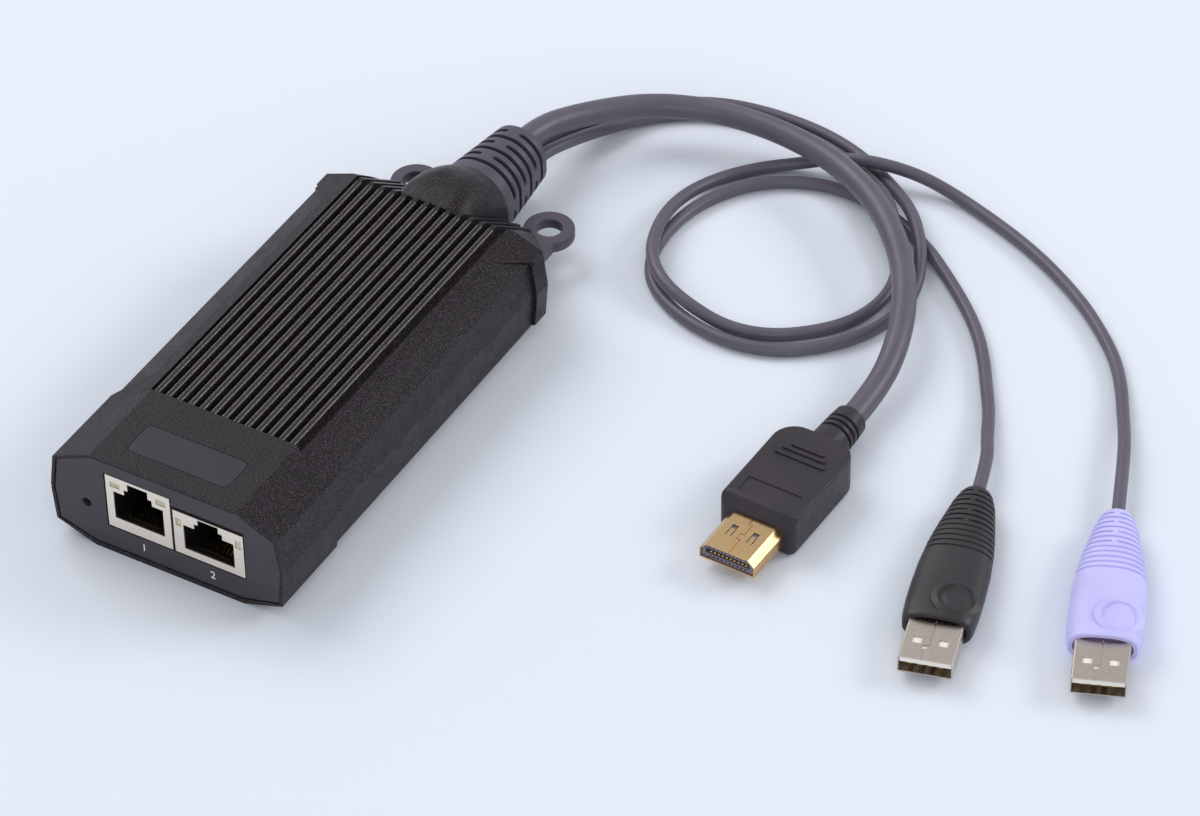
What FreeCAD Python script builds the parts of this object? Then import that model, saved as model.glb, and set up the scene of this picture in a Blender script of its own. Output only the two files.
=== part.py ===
import FreeCAD, Part

import math
import os
import re

import Sketcher
from FreeCAD import Placement, Rotation, Vector

# A pocket-sized console adapter: a faceted plastic box with two network jacks at its front
# face and a slotted grommet at its back, from which one video cord and two data cords run
# out over the table to their plugs. The frame: x runs across, y from the jacks (-) towards
# the grommet (+), z up. The origin is the centre of the flat base. Lengths are millimetres.

SIZES = {
    # housing, faceted cross-section and plan
    "length": 124.0,
    "head_room": 0.4,
    "bevel_run": 9.95,
    "collar_out": 0.2,
    "collar_drop": 0.8,
    "shoulder_in": 1.2,
    "bevel_fall": 4.65,
    "waist_half": 29.95,
    "parting": 12.8,
    "foot_in": 0.75,
    "foot_rise": 3.6,
    "base_run": 10.1,
    "wall": 1.8,
    "seam": 0.3,
    "slope_run": 15.0,
    "corner_run": 12.7,
    "tail_out": 0.0,
    "tail_lift": 2.2,
    "tail_bevel": 1.2,
    # the front cap and the sunken middle of the long sides
    "cap_back_top": 24.5,
    "cap_back_side": 17.8,
    "waist_cap": 22.0,
    "inset": 0.9,
    "waist_back": 106.5,
    "dent_wide": 5.75,
    "dent_depth": 0.85,
    "dent_front_in": 31.7,
    "dent_front_out": 22.2,
    "dent_back_in": 100.1,
    "dent_back_out": 107.3,
    "dent_over": 1.3,
    # ribs on the lid
    "rib_pitch": 2.92,
    "rib_width": 1.2,
    "rib_depth": 2.0,
    "slope_rib_depth": 1.5,
    # hood over the root of the grommet
    "oval": 0.96,
    "hood_lip": 0.4,
    "hood_reach": 3.5,
    "hood_swell": 0.9,
    "hood_over": 0.6,
    "hood_under": 0.7,
    "fit": 0.15,
    # front panel, badge
    "rim": 0.8,
    "rim_low": 1.3,
    "panel_thick": 2.2,
    "panel_sink": 0.2,
    "badge_wide": 26.0,
    "badge_deep": 9.4,
    "badge_thick": 0.5,
    "badge_place": 10.0,
    "badge_corner": 1.5,
    # circuit board, posts and screws
    "board_edge": 1.4,
    "board_thick": 1.6,
    "board_rise": 5.9,
    "board_front": 3.6,
    "board_back": 18.0,
    "post_half": 16.0,
    "post_front": 28.0,
    "post_back": 26.0,
    "post_radius": 2.6,
    "boss_radius": 3.6,
    "screw_radius": 1.25,
    "screw_head_radius": 2.4,
    "screw_head_tall": 1.9,
    "screw_seat": 2.2,
    "screw_long": 12.0,
    "screw_slack": 0.25,
    "screw_bite": 0.03,
    # network jacks
    "sheet": 0.4,
    "jack_deep": 18.0,
    "plug_deep": 13.0,
    "jack_slack": 0.1,
    "jack_gap": 0.35,
    "jack_sink": 0.3,
    "cut_over": 1.1,
    "left_jack_x": -7.0,
    "left_jack_wide": 16.6,
    "left_jack_tall": 14.7,
    "left_mouth_low": 2.9,
    "left_mouth_high": 10.5,
    "left_step_high": 12.0,
    "left_tab_high": 14.0,
    "left_lamp_edge": 1.15,
    "left_lamp_wide": 2.5,
    "left_lamp_low": 11.6,
    "left_lamp_tall": 1.5,
    "jacks_apart": 0.65,
    "right_jack_wide": 17.9,
    "right_jack_tall": 12.0,
    "right_mouth_low": 1.9,
    "right_mouth_high": 8.7,
    "right_step_high": 10.1,
    "right_tab_high": 11.7,
    "right_lamp_edge": 0.6,
    "right_lamp_wide": 1.5,
    "right_lamp_low": 7.9,
    "right_lamp_tall": 2.2,
    "mouth_half": 6.4,
    "step_half": 3.6,
    "tab_half": 2.6,
    "lamp_deep": 3.0,
    "contact_pitch": 1.02,
    "contact_wide": 0.45,
    "contact_start": 1.2,
    "contact_end": 11.5,
    "contact_lift": 2.6,
    # reset switch behind its pinhole
    "switch_off": 0.475,
    "reset_rise": 11.6,
    "pinhole_radius": 1.15,
    "button_radius": 1.0,
    "button_slack": 0.15,
    "switch_half": 2.3,
    "switch_deep": 3.6,
    "button_travel": 0.25,
    "button_proud": 2.4,
    "button_collar": 1.5,
    "collar_thick": 0.5,
    "switch_place": 5.1,
    # what the board carries
    "chip_x": 12.0,
    "processor_wide": 14.0,
    "processor_tall": 1.6,
    "pad_wide": 13.0,
    "pad_tall": 1.0,
    "memory_wide": 9.0,
    "memory_deep": 11.0,
    "memory_tall": 1.1,
    "network_wide": 8.0,
    "network_tall": 1.0,
    "crystal_wide": 5.0,
    "crystal_deep": 3.2,
    "crystal_tall": 1.2,
    "transformer_wide": 10.0,
    "transformer_deep": 7.0,
    "transformer_tall": 5.6,
    "transformer_behind": 6.5,
    "transformer_shift": 3.0,
    "chip_corner": 0.3,
    "can_radius": 2.0,
    "can_tall": 6.0,
    "can_pitch": 5.2,
    "can_count": 4,
    "header_deep": 5.0,
    "header_tall": 5.2,
    "header_place": 26.0,
    "video_header_x": -8.0,
    "data_header_x": 8.0,
    "video_header_wide": 11.0,
    "data_header_wide": 9.0,
    "lead_radius": 2.0,
    "data_lead_radius": 1.0,
    "lead_apart": 2.0,
    "lead_straight": 4.0,
    "lead_bend": 6.0,
    "clamp_half": 5.5,
    "clamp_wall": 1.8,
    "clamp_deep": 4.0,
    "clamp_inset": 1.0,
    "clamp_ear": 5.0,
    "small_screw": 0.9,
    # grommet, its slots and the cords in it
    "boot_half": 9.5,
    "boot_top": 22.9,
    "boot_low": 2.0,
    "tip_half": 7.1,
    "tip_fall": 2.9,
    "tip_lift": 1.6,
    "boot_long": 22.0,
    "neck_in": 1.1,
    "neck_up": 0.8,
    "neck_down": 0.9,
    "flange_thick": 2.6,
    "flange_lip": 2.0,
    "slot_rows": 6,
    "slot_first": 3.9,
    "slot_pitch": 2.95,
    "slot_wide": 1.3,
    "slot_deep": 1.4,
    "slot_side": 1.6,
    "slot_web": 2.9,
    "video_cord_radius": 2.9,
    "data_cord_radius": 1.5,
    "cord_slack": 0.06,
    "video_cord_drop": 4.6,
    "data_cord_lift": 5.0,
    "cord_apart": 0.3,
    "cord_grip": 6.5,
    # tie loops
    "loop_beside": 8.5,
    "loop_out": 8.0,
    "loop_radius": 6.0,
    "loop_arm": 3.8,
    "loop_hole": 3.05,
    "loop_thick": 2.8,
    "loop_rise": 6.8,
    "loop_anchor": 2.2,
    "anchor_slack": 0.7,
    "anchor_thick": 2.4,
    "anchor_wall": 8.5,
    # video plug, lying flat
    "video_plug_x": 107.7,
    "video_plug_y": 49.5,
    "video_plug_turn": -2.0,
    "video_half": 9.5,
    "video_tall": 10.4,
    "video_neck": 12.5,
    "video_neck_radius": 3.9,
    "video_neck_flare": 4.9,
    "video_body": 29.0,
    "video_shell_half": 6.95,
    "video_shell_tall": 4.45,
    "video_shell_long": 12.0,
    "video_shell_bevel": 1.5,
    "shell_wall": 0.35,
    "shell_seam": 0.14,
    "seam_step": 0.9,
    "shell_hold": 3.0,
    "video_shoulder": 6.0,
    "video_bevel": 1.3,
    "nose_bevel": 1.2,
    "nose_band": 2.4,
    "neck_rings": 3,
    "ring_deep": 0.7,
    "tongue_back": 0.3,
    "slot_tall": 1.3,
    "window_apart": 6.4,
    "window_wide": 1.6,
    "window_long": 2.6,
    "window_back": 6.5,
    # data plugs, lying flat
    "black_plug_x": 142.4,
    "black_plug_y": 44.1,
    "black_plug_turn": 15.5,
    "violet_plug_x": 171.2,
    "violet_plug_y": 54.6,
    "violet_plug_turn": 21.5,
    "grip_lift": 0.05,
    "data_body": 46.0,
    "data_shell_half": 6.0,
    "data_shell_tall": 4.5,
    "data_shell_long": 12.0,
    "data_ridges": 11,
    "data_ridge_pitch": 1.95,
    "data_ridge_wide": 0.75,
    "data_ridge_deep": 0.45,
    "grip_end_half": 3.0,
    "grip_end_tall": 6.0,
    "grip_wide_half": 8.3,
    "grip_front_half": 7.6,
    "grip_tall": 8.2,
    "dimple_back": 9.5,
    "dimple_radius": 4.7,
    "dimple_ring": 0.5,
    "data_window": 2.2,
    "data_window_apart": 5.6,
    "data_window_back": 6.2,
    "tongue_tall": 1.9,
    "data_contact_pitch": 2.2,
    "data_contact_wide": 1.1,
}

# Sizes that follow from the ones above
TIED = {
    "shoulder_half": "waist_half - shoulder_in",
    "foot_half": "waist_half - foot_in",
    "base_half": "foot_half - base_run",
    "top_half": "shoulder_half - bevel_run",
    "collar_half": "top_half + collar_out",
    "tail_half": "top_half + tail_out",
    "height": "board_rise + board_thick + left_jack_tall + head_room + wall + rib_depth",
    "collar_rise": "height - collar_drop",
    "shoulder_rise": "height - bevel_fall",
    "tail_rise": "parting + tail_lift",
    "dent_half": "shoulder_half - dent_wide",
    "rib_count": "round(2 * top_half / rib_pitch)",
    "hood_half": "boot_half + hood_lip",
    "hood_root": "hood_half - 2 * fit",
    "hood_foot": "height - 2 * fit",
    "hood_crown": "height + hood_swell",
    "hood_back": "height + hood_lip",
    "hood_end": "boot_top + hood_over",
    "hood_low": "boot_low - hood_under",
    "right_jack_x": "left_jack_x + left_jack_wide / 2 + right_jack_wide / 2 + jacks_apart",
    "left_lamp_x": "left_jack_wide / 2 - left_lamp_wide / 2 - left_lamp_edge",
    "right_lamp_x": "right_jack_wide / 2 - right_lamp_wide / 2 - right_lamp_edge",
    "cut_rise": "board_rise + board_thick + right_jack_tall + cut_over",
    "reset_x": "switch_off - (waist_half - inset - wall + left_jack_wide / 2 - left_jack_x) / 2",
    "board_half": "switch_half + board_edge - reset_x",
    "neck_half": "boot_half - neck_in",
    "neck_low": "boot_low + neck_up",
    "neck_top": "boot_top - neck_down",
    "tip_top": "boot_top - tip_fall",
    "tip_low": "boot_low + tip_lift",
    "video_cord_rise": "tip_top - video_cord_drop",
    "data_cord_rise": "tip_low + data_cord_lift",
    "data_cord_half": "data_cord_radius + cord_apart",
    "loop_x": "boot_half + loop_beside",
    "data_axis_rise": "grip_tall / 2 + grip_lift",
}

doc = FreeCAD.newDocument("console_adapter")
sheet = doc.addObject("Spreadsheet::Sheet", "dims")
for row, (word, size) in enumerate((SIZES | TIED).items(), start=1):
    sheet.set(f"A{row}", word)
    sheet.setAlias(f"B{row}", word)
    sheet.set(f"B{row}", f"={size}")
doc.recompute()


def named(text):
    """A size text with every size word pointing at its cell."""
    known = SIZES.keys() | TIED.keys()
    return re.sub(r"[a-z][a-z_]*", lambda m: f"dims.{m.group()}" if m.group() in known else m.group(), text)


def value(text):
    """The number that a size text stands for."""
    return float(sheet.evalExpression(named(text)))


def bind(thing, prop, text):
    """Tie one property of a document object to the sheet."""
    thing.setExpression(prop, named(text))


# Places that many pieces share, as size texts
FRONT = "(-length / 2)"
REAR = "(length / 2)"
BEND = "(length / 2 - slope_run)"
CORNER = "(length / 2 - corner_run)"
ROOF = "(height - rib_depth - wall)"
BOARD_TOP = "(board_rise + board_thick)"
PANEL_BACK = "(-length / 2 + panel_sink + panel_thick)"
HOOD_END = "(length / 2 + hood_reach)"
BOOT_TIP = "(length / 2 + hood_reach + boot_long)"
CORD_START = "(length / 2 + hood_reach + boot_long - cord_grip)"
SLOT_END = "(slot_wide * 0.48)"
ANCHOR_WALL = "(length / 2 - anchor_wall)"
HEADER_FRONT = "(length / 2 - board_back - header_place)"
SWITCH_FRONT = "(-length / 2 + switch_place)"
LEADS = [
    ("0", "video_cord_rise", "lead_radius"),
    ("-data_cord_half", "data_cord_rise", "data_lead_radius"),
    ("data_cord_half", "data_cord_rise", "data_lead_radius"),
]
POSTS = [
    (side, place)
    for side in ("-post_half", "post_half")
    for place in ("(-length / 2 + post_front)", "(length / 2 - post_back)")
]


# Helpers that draw sketches and turn them into features


def new_body(label):
    """One moulded or machined piece."""
    body = doc.addObject("PartDesign::Body", label)
    body.Label = label
    return body


def new_sketch(body, plane, at="0"):
    """An empty sketch on one of the body's own planes, moved along the plane's axis to at."""
    sketch = body.newObject("Sketcher::SketchObject", f"{body.Name}_sketch")
    base = [feature for feature in body.Origin.OriginFeatures if feature.Role == plane][0]
    sketch.AttachmentSupport = [(base, "")]
    sketch.MapMode = "FlatFace"
    bind(sketch, "AttachmentOffset.Base.z", f"-({at})" if plane == "XZ_Plane" else at)
    return sketch


def pin(sketch, edge, corner):
    """Hold the start of one edge at a place given by two size texts."""
    for kind, text in zip(("DistanceX", "DistanceY"), corner):
        number = sketch.addConstraint(Sketcher.Constraint(kind, -1, 1, edge, 1, value(text)))
        bind(sketch, f"Constraints[{number}]", text)


def join_ends(sketch, first, count):
    """Close a ring of edges, each end on the next start."""
    for index in range(count):
        after = first + (index + 1) % count
        sketch.addConstraint(Sketcher.Constraint("Coincident", first + index, 2, after, 1))


def polygon(sketch, corners):
    """A closed outline of straight edges."""
    first = sketch.GeometryCount
    points = [Vector(value(x), value(y), 0) for x, y in corners]
    for start, end in zip(points, points[1:] + points[:1]):
        sketch.addGeometry(Part.LineSegment(start, end))
    join_ends(sketch, first, len(corners))
    for index, corner in enumerate(corners):
        pin(sketch, first + index, corner)


def circle(sketch, x, y, radius):
    """A full circle."""
    centre = Vector(value(x), value(y), 0)
    edge = sketch.addGeometry(Part.Circle(centre, Vector(0, 0, 1), value(radius)))
    for kind, text in (("DistanceX", x), ("DistanceY", y)):
        number = sketch.addConstraint(Sketcher.Constraint(kind, -1, 1, edge, 3, value(text)))
        bind(sketch, f"Constraints[{number}]", text)
    number = sketch.addConstraint(Sketcher.Constraint("Radius", edge, value(radius)))
    bind(sketch, f"Constraints[{number}]", radius)


def rounded(sketch, left, right, low, high, radius, round_low=True):
    """A box outline with arcs at its two upper corners, and at its lower ones if round_low."""
    top = f"({high}) - ({radius})"
    bottom = f"({low}) + ({radius})" if round_low else low
    from_left = f"({left}) + ({radius})"
    from_right = f"({right}) - ({radius})"
    corners = [(right, bottom), (right, top), (from_right, high)]
    corners += [(from_left, high), (left, top), (left, bottom)]
    arcs = {1: (from_right, top, 0), 3: (from_left, top, 90)}
    if round_low:
        corners += [(from_left, low), (from_right, low)]
        arcs[5] = (from_left, bottom, 180)
        arcs[7] = (from_right, bottom, 270)
    first = sketch.GeometryCount
    points = [Vector(value(x), value(y), 0) for x, y in corners]
    for index, (start, end) in enumerate(zip(points, points[1:] + points[:1])):
        if index in arcs:
            x, y, turn = arcs[index]
            whole = Part.Circle(Vector(value(x), value(y), 0), Vector(0, 0, 1), value(radius))
            edge = Part.ArcOfCircle(whole, math.radians(turn), math.radians(turn + 90))
        else:
            edge = Part.LineSegment(start, end)
        sketch.addGeometry(edge)
    join_ends(sketch, first, len(corners))
    for index, corner in enumerate(corners):
        pin(sketch, first + index, corner)
    for index in arcs:
        number = sketch.addConstraint(Sketcher.Constraint("Radius", first + index, value(radius)))
        bind(sketch, f"Constraints[{number}]", radius)


def extrude(body, sketch, length, cut=False, down=False):
    """Add or cut a prism from the sketch towards its positive axis, or the negative if down."""
    kind = "PartDesign::Pocket" if cut else "PartDesign::Pad"
    feature = body.newObject(kind, f"{body.Name}_{'cut' if cut else 'pad'}")
    feature.Profile = sketch
    bind(feature, "Length", length)
    against_normal = "XZ" in sketch.AttachmentSupport[0][0].Role
    feature.Reversed = (cut != against_normal) != down
    return feature


def prism(body, plane, at, length, corners, cut=False, down=False):
    """Add or cut a straight-edged prism."""
    sketch = new_sketch(body, plane, at)
    polygon(sketch, corners)
    return extrude(body, sketch, length, cut, down)


def block(body, x_low, x_high, y_low, y_high, z_low, z_high, cut=False):
    """Add or cut a box between six places."""
    corners = [(x_low, y_low), (x_high, y_low), (x_high, y_high), (x_low, y_high)]
    return prism(body, "XY_Plane", z_low, f"({z_high}) - ({z_low})", corners, cut)


def rod(body, plane, at, length, x, y, radius, cut=False, down=False):
    """Add or cut a round prism."""
    sketch = new_sketch(body, plane, at)
    circle(sketch, x, y, radius)
    return extrude(body, sketch, length, cut, down)


def rounded_bar(body, plane, at, length, box, radius, cut=False, down=False, round_low=True):
    """Add or cut a prism with rounded corners; box is left, right, low, high."""
    sketch = new_sketch(body, plane, at)
    rounded(sketch, *box, radius, round_low)
    return extrude(body, sketch, length, cut, down)


def loft(body, sketches, ruled=True, cut=False):
    """Add or cut a skin through several sketches."""
    kind = "PartDesign::SubtractiveLoft" if cut else "PartDesign::AdditiveLoft"
    feature = body.newObject(kind, f"{body.Name}_loft")
    feature.Profile = sketches[0]
    feature.Sections = sketches[1:]
    feature.Ruled = ruled
    return feature


def mirrored(body, feature):
    """The same feature on the other side of the middle plane."""
    twin = body.newObject("PartDesign::Mirrored", f"{body.Name}_mirror")
    twin.Originals = [feature]
    plane = [item for item in body.Origin.OriginFeatures if item.Role == "YZ_Plane"][0]
    twin.MirrorPlane = (plane, [""])
    body.Tip = twin
    return twin


def row_of(body, feature, axis, pitch, count):
    """Copies of a feature in a line."""
    pattern = body.newObject("PartDesign::LinearPattern", f"{body.Name}_row")
    pattern.Originals = [feature]
    line = [item for item in body.Origin.OriginFeatures if item.Role == axis][0]
    pattern.Direction = (line, [""])
    pattern.Mode = "Spacing"
    bind(pattern, "Offset", pitch)
    bind(pattern, "Occurrences", count)
    body.Tip = pattern
    return pattern


def both_sides(half):
    """A closed outline from its right half, listed from the top down."""
    return half + [(f"-({x})", y) for x, y in reversed(half)]


def place(thing, x, y, turn):
    """Put a plug's piece where its plug lies."""
    thing.Placement = Placement(Vector(value(x), value(y), 0), Rotation(Vector(0, 0, 1), value(turn)))
    bind(thing, "Placement.Base.x", x)
    bind(thing, "Placement.Base.y", y)
    bind(thing, "Placement.Rotation.Angle", turn)


# Housing: a lid and a tray that meet at the parting plane

CROWN = ("top_half", "height")
COLLAR = ("collar_half", "collar_rise")
SHOULDER = ("shoulder_half", "shoulder_rise")
UPPER_WAIST = [("waist_half", "parting + seam"), ("waist_half - seam", "parting")]
LOWER_WAIST = [("waist_half - seam", "parting"), ("waist_half", "parting - seam")]
FOOT = ("foot_half", "foot_rise")
BASE = ("base_half", "0")
BEVEL_FALL = "((collar_rise - shoulder_rise) / (shoulder_half - collar_half))"
FOOT_FALL = "(foot_rise / (foot_half - base_half))"
SLOPE = "((height - tail_rise) / slope_run)"


def sink_sides(body, inner):
    """Set the long side walls in between the two end caps; inner runs down the sunken wall."""
    outside = "waist_half + 1"
    corners = inner + [(outside, inner[-1][1]), (outside, inner[0][1])]
    cut = prism(body, "XZ_Plane", f"{FRONT} + waist_cap", "waist_back - waist_cap", corners, cut=True)
    mirrored(body, cut)


def drop_shoulders(body):
    """Tilt the outer half of each upper bevel a little deeper, between two slanted creases."""
    reach = "(shoulder_half - dent_half)"
    steeper = f"({BEVEL_FALL} + dent_depth / {reach})"
    sketch = new_sketch(body, "XY_Plane", f"collar_rise - (dent_half - collar_half) * {BEVEL_FALL}")
    tilted = Rotation(Vector(0, 1, 0), math.degrees(math.atan(value(steeper))))
    sketch.AttachmentOffset = Placement(sketch.AttachmentOffset.Base, tilted)
    bind(sketch, "AttachmentOffset.Base.x", "dent_half")
    bind(sketch, "AttachmentOffset.Rotation.Angle", f"atan{steeper}")
    outer = f"{reach} * dent_over"
    spread = f"(dent_over * cos(atan{steeper}) - 1)"
    corners = [
        ("0", f"{FRONT} + dent_front_in"),
        (outer, f"{FRONT} + dent_front_out - (dent_front_in - dent_front_out) * {spread}"),
        (outer, f"{FRONT} + dent_back_out + (dent_back_out - dent_back_in) * {spread}"),
        ("0", f"{FRONT} + dent_back_in"),
    ]
    polygon(sketch, corners)
    mirrored(body, extrude(body, sketch, "wall", cut=True))


def ribs(body):
    """Grooves along the top that bend where the slope starts, with the ribs left between."""
    half = "(rib_count * rib_pitch / 2 - (rib_pitch - rib_width) / 2)"
    block(body, f"-{half}", half, FRONT, REAR, "height - rib_depth - 0.5", "height")
    top_cut = [
        (BEND, "height"),
        (f"{REAR} + 1", f"tail_rise - {SLOPE}"),
        (f"{REAR} + 1", "height + 1"),
        (BEND, "height + 1"),
    ]
    prism(body, "YZ_Plane", "-waist_half", "2 * waist_half", top_cut, cut=True)
    floor = "height - rib_depth"
    slope_floor = f"(tail_rise - slope_rib_depth * sqrt(1 + {SLOPE} ^ 2))"
    groove = [
        (f"{FRONT} + cap_back_top", "height + 1"),
        (f"{FRONT} + cap_back_top", floor),
        (f"{REAR} - ({floor} - {slope_floor}) / {SLOPE}", floor),
        (f"{REAR} + 1", f"{slope_floor} - {SLOPE}"),
        (f"{REAR} + 1", "height + 1"),
    ]
    first = "-rib_count * rib_pitch / 2 - (rib_pitch - rib_width) / 2"
    cut = prism(body, "YZ_Plane", first, "rib_pitch - rib_width", groove, cut=True)
    row_of(body, cut, "X_Axis", "rib_pitch", "rib_count + 1")


def hood_section(body, at, half, top, radius):
    """One station of the hood over the grommet."""
    sketch = new_sketch(body, "XZ_Plane", at)
    rounded(sketch, f"-({half})", half, "parting", top, radius, round_low=False)
    return sketch


def panel_edge(gap):
    """The right half of the front panel's outline, drawn in by a gap."""
    return [
        (f"top_half - {gap}", f"height - rim - {gap}"),
        (f"shoulder_half - rim - {gap}", f"shoulder_rise - rim / 2 - {gap}"),
        (f"waist_half - rim - {gap}", "parting"),
        (f"foot_half - rim - {gap}", f"foot_rise + rim / 2 + {gap}"),
        (f"base_half - {gap}", f"rim_low + {gap}"),
    ]


def grommet_room(body):
    """The grommet's seat: a bore for its neck and a wider ring for its flange."""
    for at, length, grow in (
        (f"{BEND} - 2", f"{HOOD_END} - {BEND} + 3", "fit"),
        (f"{BEND} + 1 - fit", "flange_thick + 2 * fit", "flange_lip + fit"),
    ):
        half = f"(neck_half + {grow})"
        box = (f"-{half}", half, f"neck_low - ({grow})", f"neck_top + {grow}")
        rounded_bar(body, "XZ_Plane", at, length, box, f"{half} * oval", cut=True)


def make_lid():
    """The upper moulding: facets, ribs that bend down the back slope, hood and screw posts."""
    body = new_body("top_cover")
    prism(body, "XZ_Plane", FRONT, "cap_back_top", both_sides([CROWN, SHOULDER] + UPPER_WAIST))
    beyond = "waist_half + 1"
    slant = "(cap_back_top - cap_back_side) / (shoulder_half - top_half)"
    corners = [
        ("top_half", f"{FRONT} + cap_back_top"),
        (beyond, f"{FRONT} + cap_back_top - ({beyond} - top_half) * {slant}"),
        (beyond, f"{FRONT} + cap_back_top + 1"),
        ("top_half", f"{FRONT} + cap_back_top + 1"),
    ]
    mirrored(body, prism(body, "XY_Plane", "0", "height + 1", corners, cut=True))
    outline = both_sides([COLLAR, SHOULDER] + UPPER_WAIST)
    prism(body, "XZ_Plane", FRONT, "length - corner_run", outline)
    wide = new_sketch(body, "XZ_Plane", CORNER)
    polygon(wide, outline)
    tail = new_sketch(body, "XZ_Plane", REAR)
    tail_top = [("tail_half - tail_bevel", "tail_rise"), ("tail_half", "tail_rise - tail_bevel")]
    tail_seam = [("tail_half", "parting + seam"), ("tail_half - seam", "parting")]
    polygon(tail, both_sides(tail_top + tail_seam))
    loft(body, [wide, tail])
    drop_shoulders(body)
    drop = f"shoulder_rise + inset * {BEVEL_FALL} - dent_depth"
    sunken_seam = [("waist_half - inset", "parting + seam"), ("waist_half - inset - seam", "parting")]
    sink_sides(body, [("shoulder_half - inset", drop)] + sunken_seam)
    ribs(body)
    stations = [
        hood_section(body, BEND, "hood_root", "hood_foot", "hood_half * 0.5"),
        hood_section(body, f"{BEND} + slope_run * 0.33", "hood_half", "hood_crown", "hood_half * 0.62"),
        hood_section(body, f"{BEND} + slope_run * 0.76", "hood_half", "hood_back", "hood_half * 0.8"),
        hood_section(body, HOOD_END, "hood_half", "hood_end", "hood_half * oval"),
    ]
    loft(body, stations, ruled=False)
    inner = [
        ("top_half", ROOF),
        ("shoulder_half - inset - wall", "shoulder_rise - wall"),
        ("waist_half - inset - wall", "parting"),
    ]
    prism(body, "XZ_Plane", PANEL_BACK, f"{BEND} - 1 - {PANEL_BACK}", both_sides(inner), cut=True)
    rebate = both_sides(panel_edge("0")[:3])
    prism(body, "XZ_Plane", FRONT, "panel_sink + panel_thick", rebate, cut=True)
    badge_y = f"({FRONT} + badge_place)"
    box = ("-badge_wide / 2", "badge_wide / 2", f"{badge_y} - badge_deep / 2", f"{badge_y} + badge_deep / 2")
    rounded_bar(body, "XY_Plane", "height - badge_thick", "badge_thick + 1", box, "badge_corner", cut=True)
    grommet_room(body)
    for x, y in POSTS:
        rod(body, "XY_Plane", BOARD_TOP, f"{ROOF} + wall / 2 - {BOARD_TOP}", x, y, "post_radius")
    for x, y in POSTS:
        depth = f"screw_seat + screw_long + 1 - {BOARD_TOP}"
        rod(body, "XY_Plane", BOARD_TOP, depth, x, y, "screw_radius + screw_bite", cut=True)
    return body


def make_tray():
    """The lower moulding: flat base, bevelled foot, screw bosses, holes for the tie loops."""
    body = new_body("bottom_shell")
    outline = both_sides(LOWER_WAIST + [FOOT, BASE])
    prism(body, "XZ_Plane", FRONT, "length - corner_run", outline)
    wide = new_sketch(body, "XZ_Plane", CORNER)
    polygon(wide, outline)
    tail = new_sketch(body, "XZ_Plane", REAR)
    tail_seam = [("tail_half - seam", "parting"), ("tail_half", "parting - seam")]
    tail_foot = [("tail_half - tail_bevel / 4", "foot_rise"), ("tail_half - tail_bevel", "0")]
    polygon(tail, both_sides(tail_seam + tail_foot))
    loft(body, [wide, tail])
    foot = ("foot_half - inset", f"foot_rise - inset * {FOOT_FALL}")
    sunken_seam = [("waist_half - inset - seam", "parting"), ("waist_half - inset", "parting - seam")]
    sink_sides(body, sunken_seam + [foot])
    hood = ("-hood_half", "hood_half", "hood_low", "hood_end")
    rounded_bar(body, "XZ_Plane", CORNER, f"{HOOD_END} - {CORNER}", hood, "hood_half * oval")
    block(body, "-waist_half", "waist_half", FRONT, f"{HOOD_END} + 1", "parting", "height", cut=True)
    inner = [
        ("waist_half - inset - wall", "parting"),
        ("foot_half - inset - wall", "foot_rise + wall / 2"),
        ("base_half - wall / 3", "wall"),
    ]
    prism(body, "XZ_Plane", PANEL_BACK, f"{BEND} - 1 - {PANEL_BACK}", both_sides(inner), cut=True)
    rebate = both_sides(panel_edge("0")[2:])
    prism(body, "XZ_Plane", FRONT, "panel_sink + panel_thick", rebate, cut=True)
    # room for the loops' anchors, then the holes that their arms leave by
    near = "(loop_x - loop_radius - anchor_slack)"
    far = "(loop_x + loop_radius + fit)"
    corners = [
        (near, f"{BEND} - 2"),
        (f"{far} + 2 * fit + 1", f"{BEND} - 2"),
        (f"{far} + 2 * fit", ANCHOR_WALL),
        (near, ANCHOR_WALL),
    ]
    low = "loop_rise - loop_anchor"
    mirrored(body, prism(body, "XY_Plane", f"{low} - fit", "parting", corners, cut=True))
    inner, outer = "loop_x - loop_arm - fit", "loop_x + loop_arm + fit"
    under, over = "loop_rise - fit", "loop_rise + loop_thick + fit"
    hole = [(inner, under), (outer, under), (outer, over), (inner, over)]
    mirrored(body, prism(body, "XZ_Plane", f"{ANCHOR_WALL} - 1", "slope_run", hole, cut=True))
    grommet_room(body)
    for x, y in POSTS:
        rod(body, "XY_Plane", "wall / 2", "board_rise - wall / 2", x, y, "boss_radius")
    for x, y in POSTS:
        rod(body, "XY_Plane", "-1", "board_rise + 2", x, y, "screw_radius + screw_slack", cut=True)
        rod(body, "XY_Plane", "-1", "screw_seat + 1", x, y, "screw_head_radius + screw_slack", cut=True)
    return body


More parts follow.
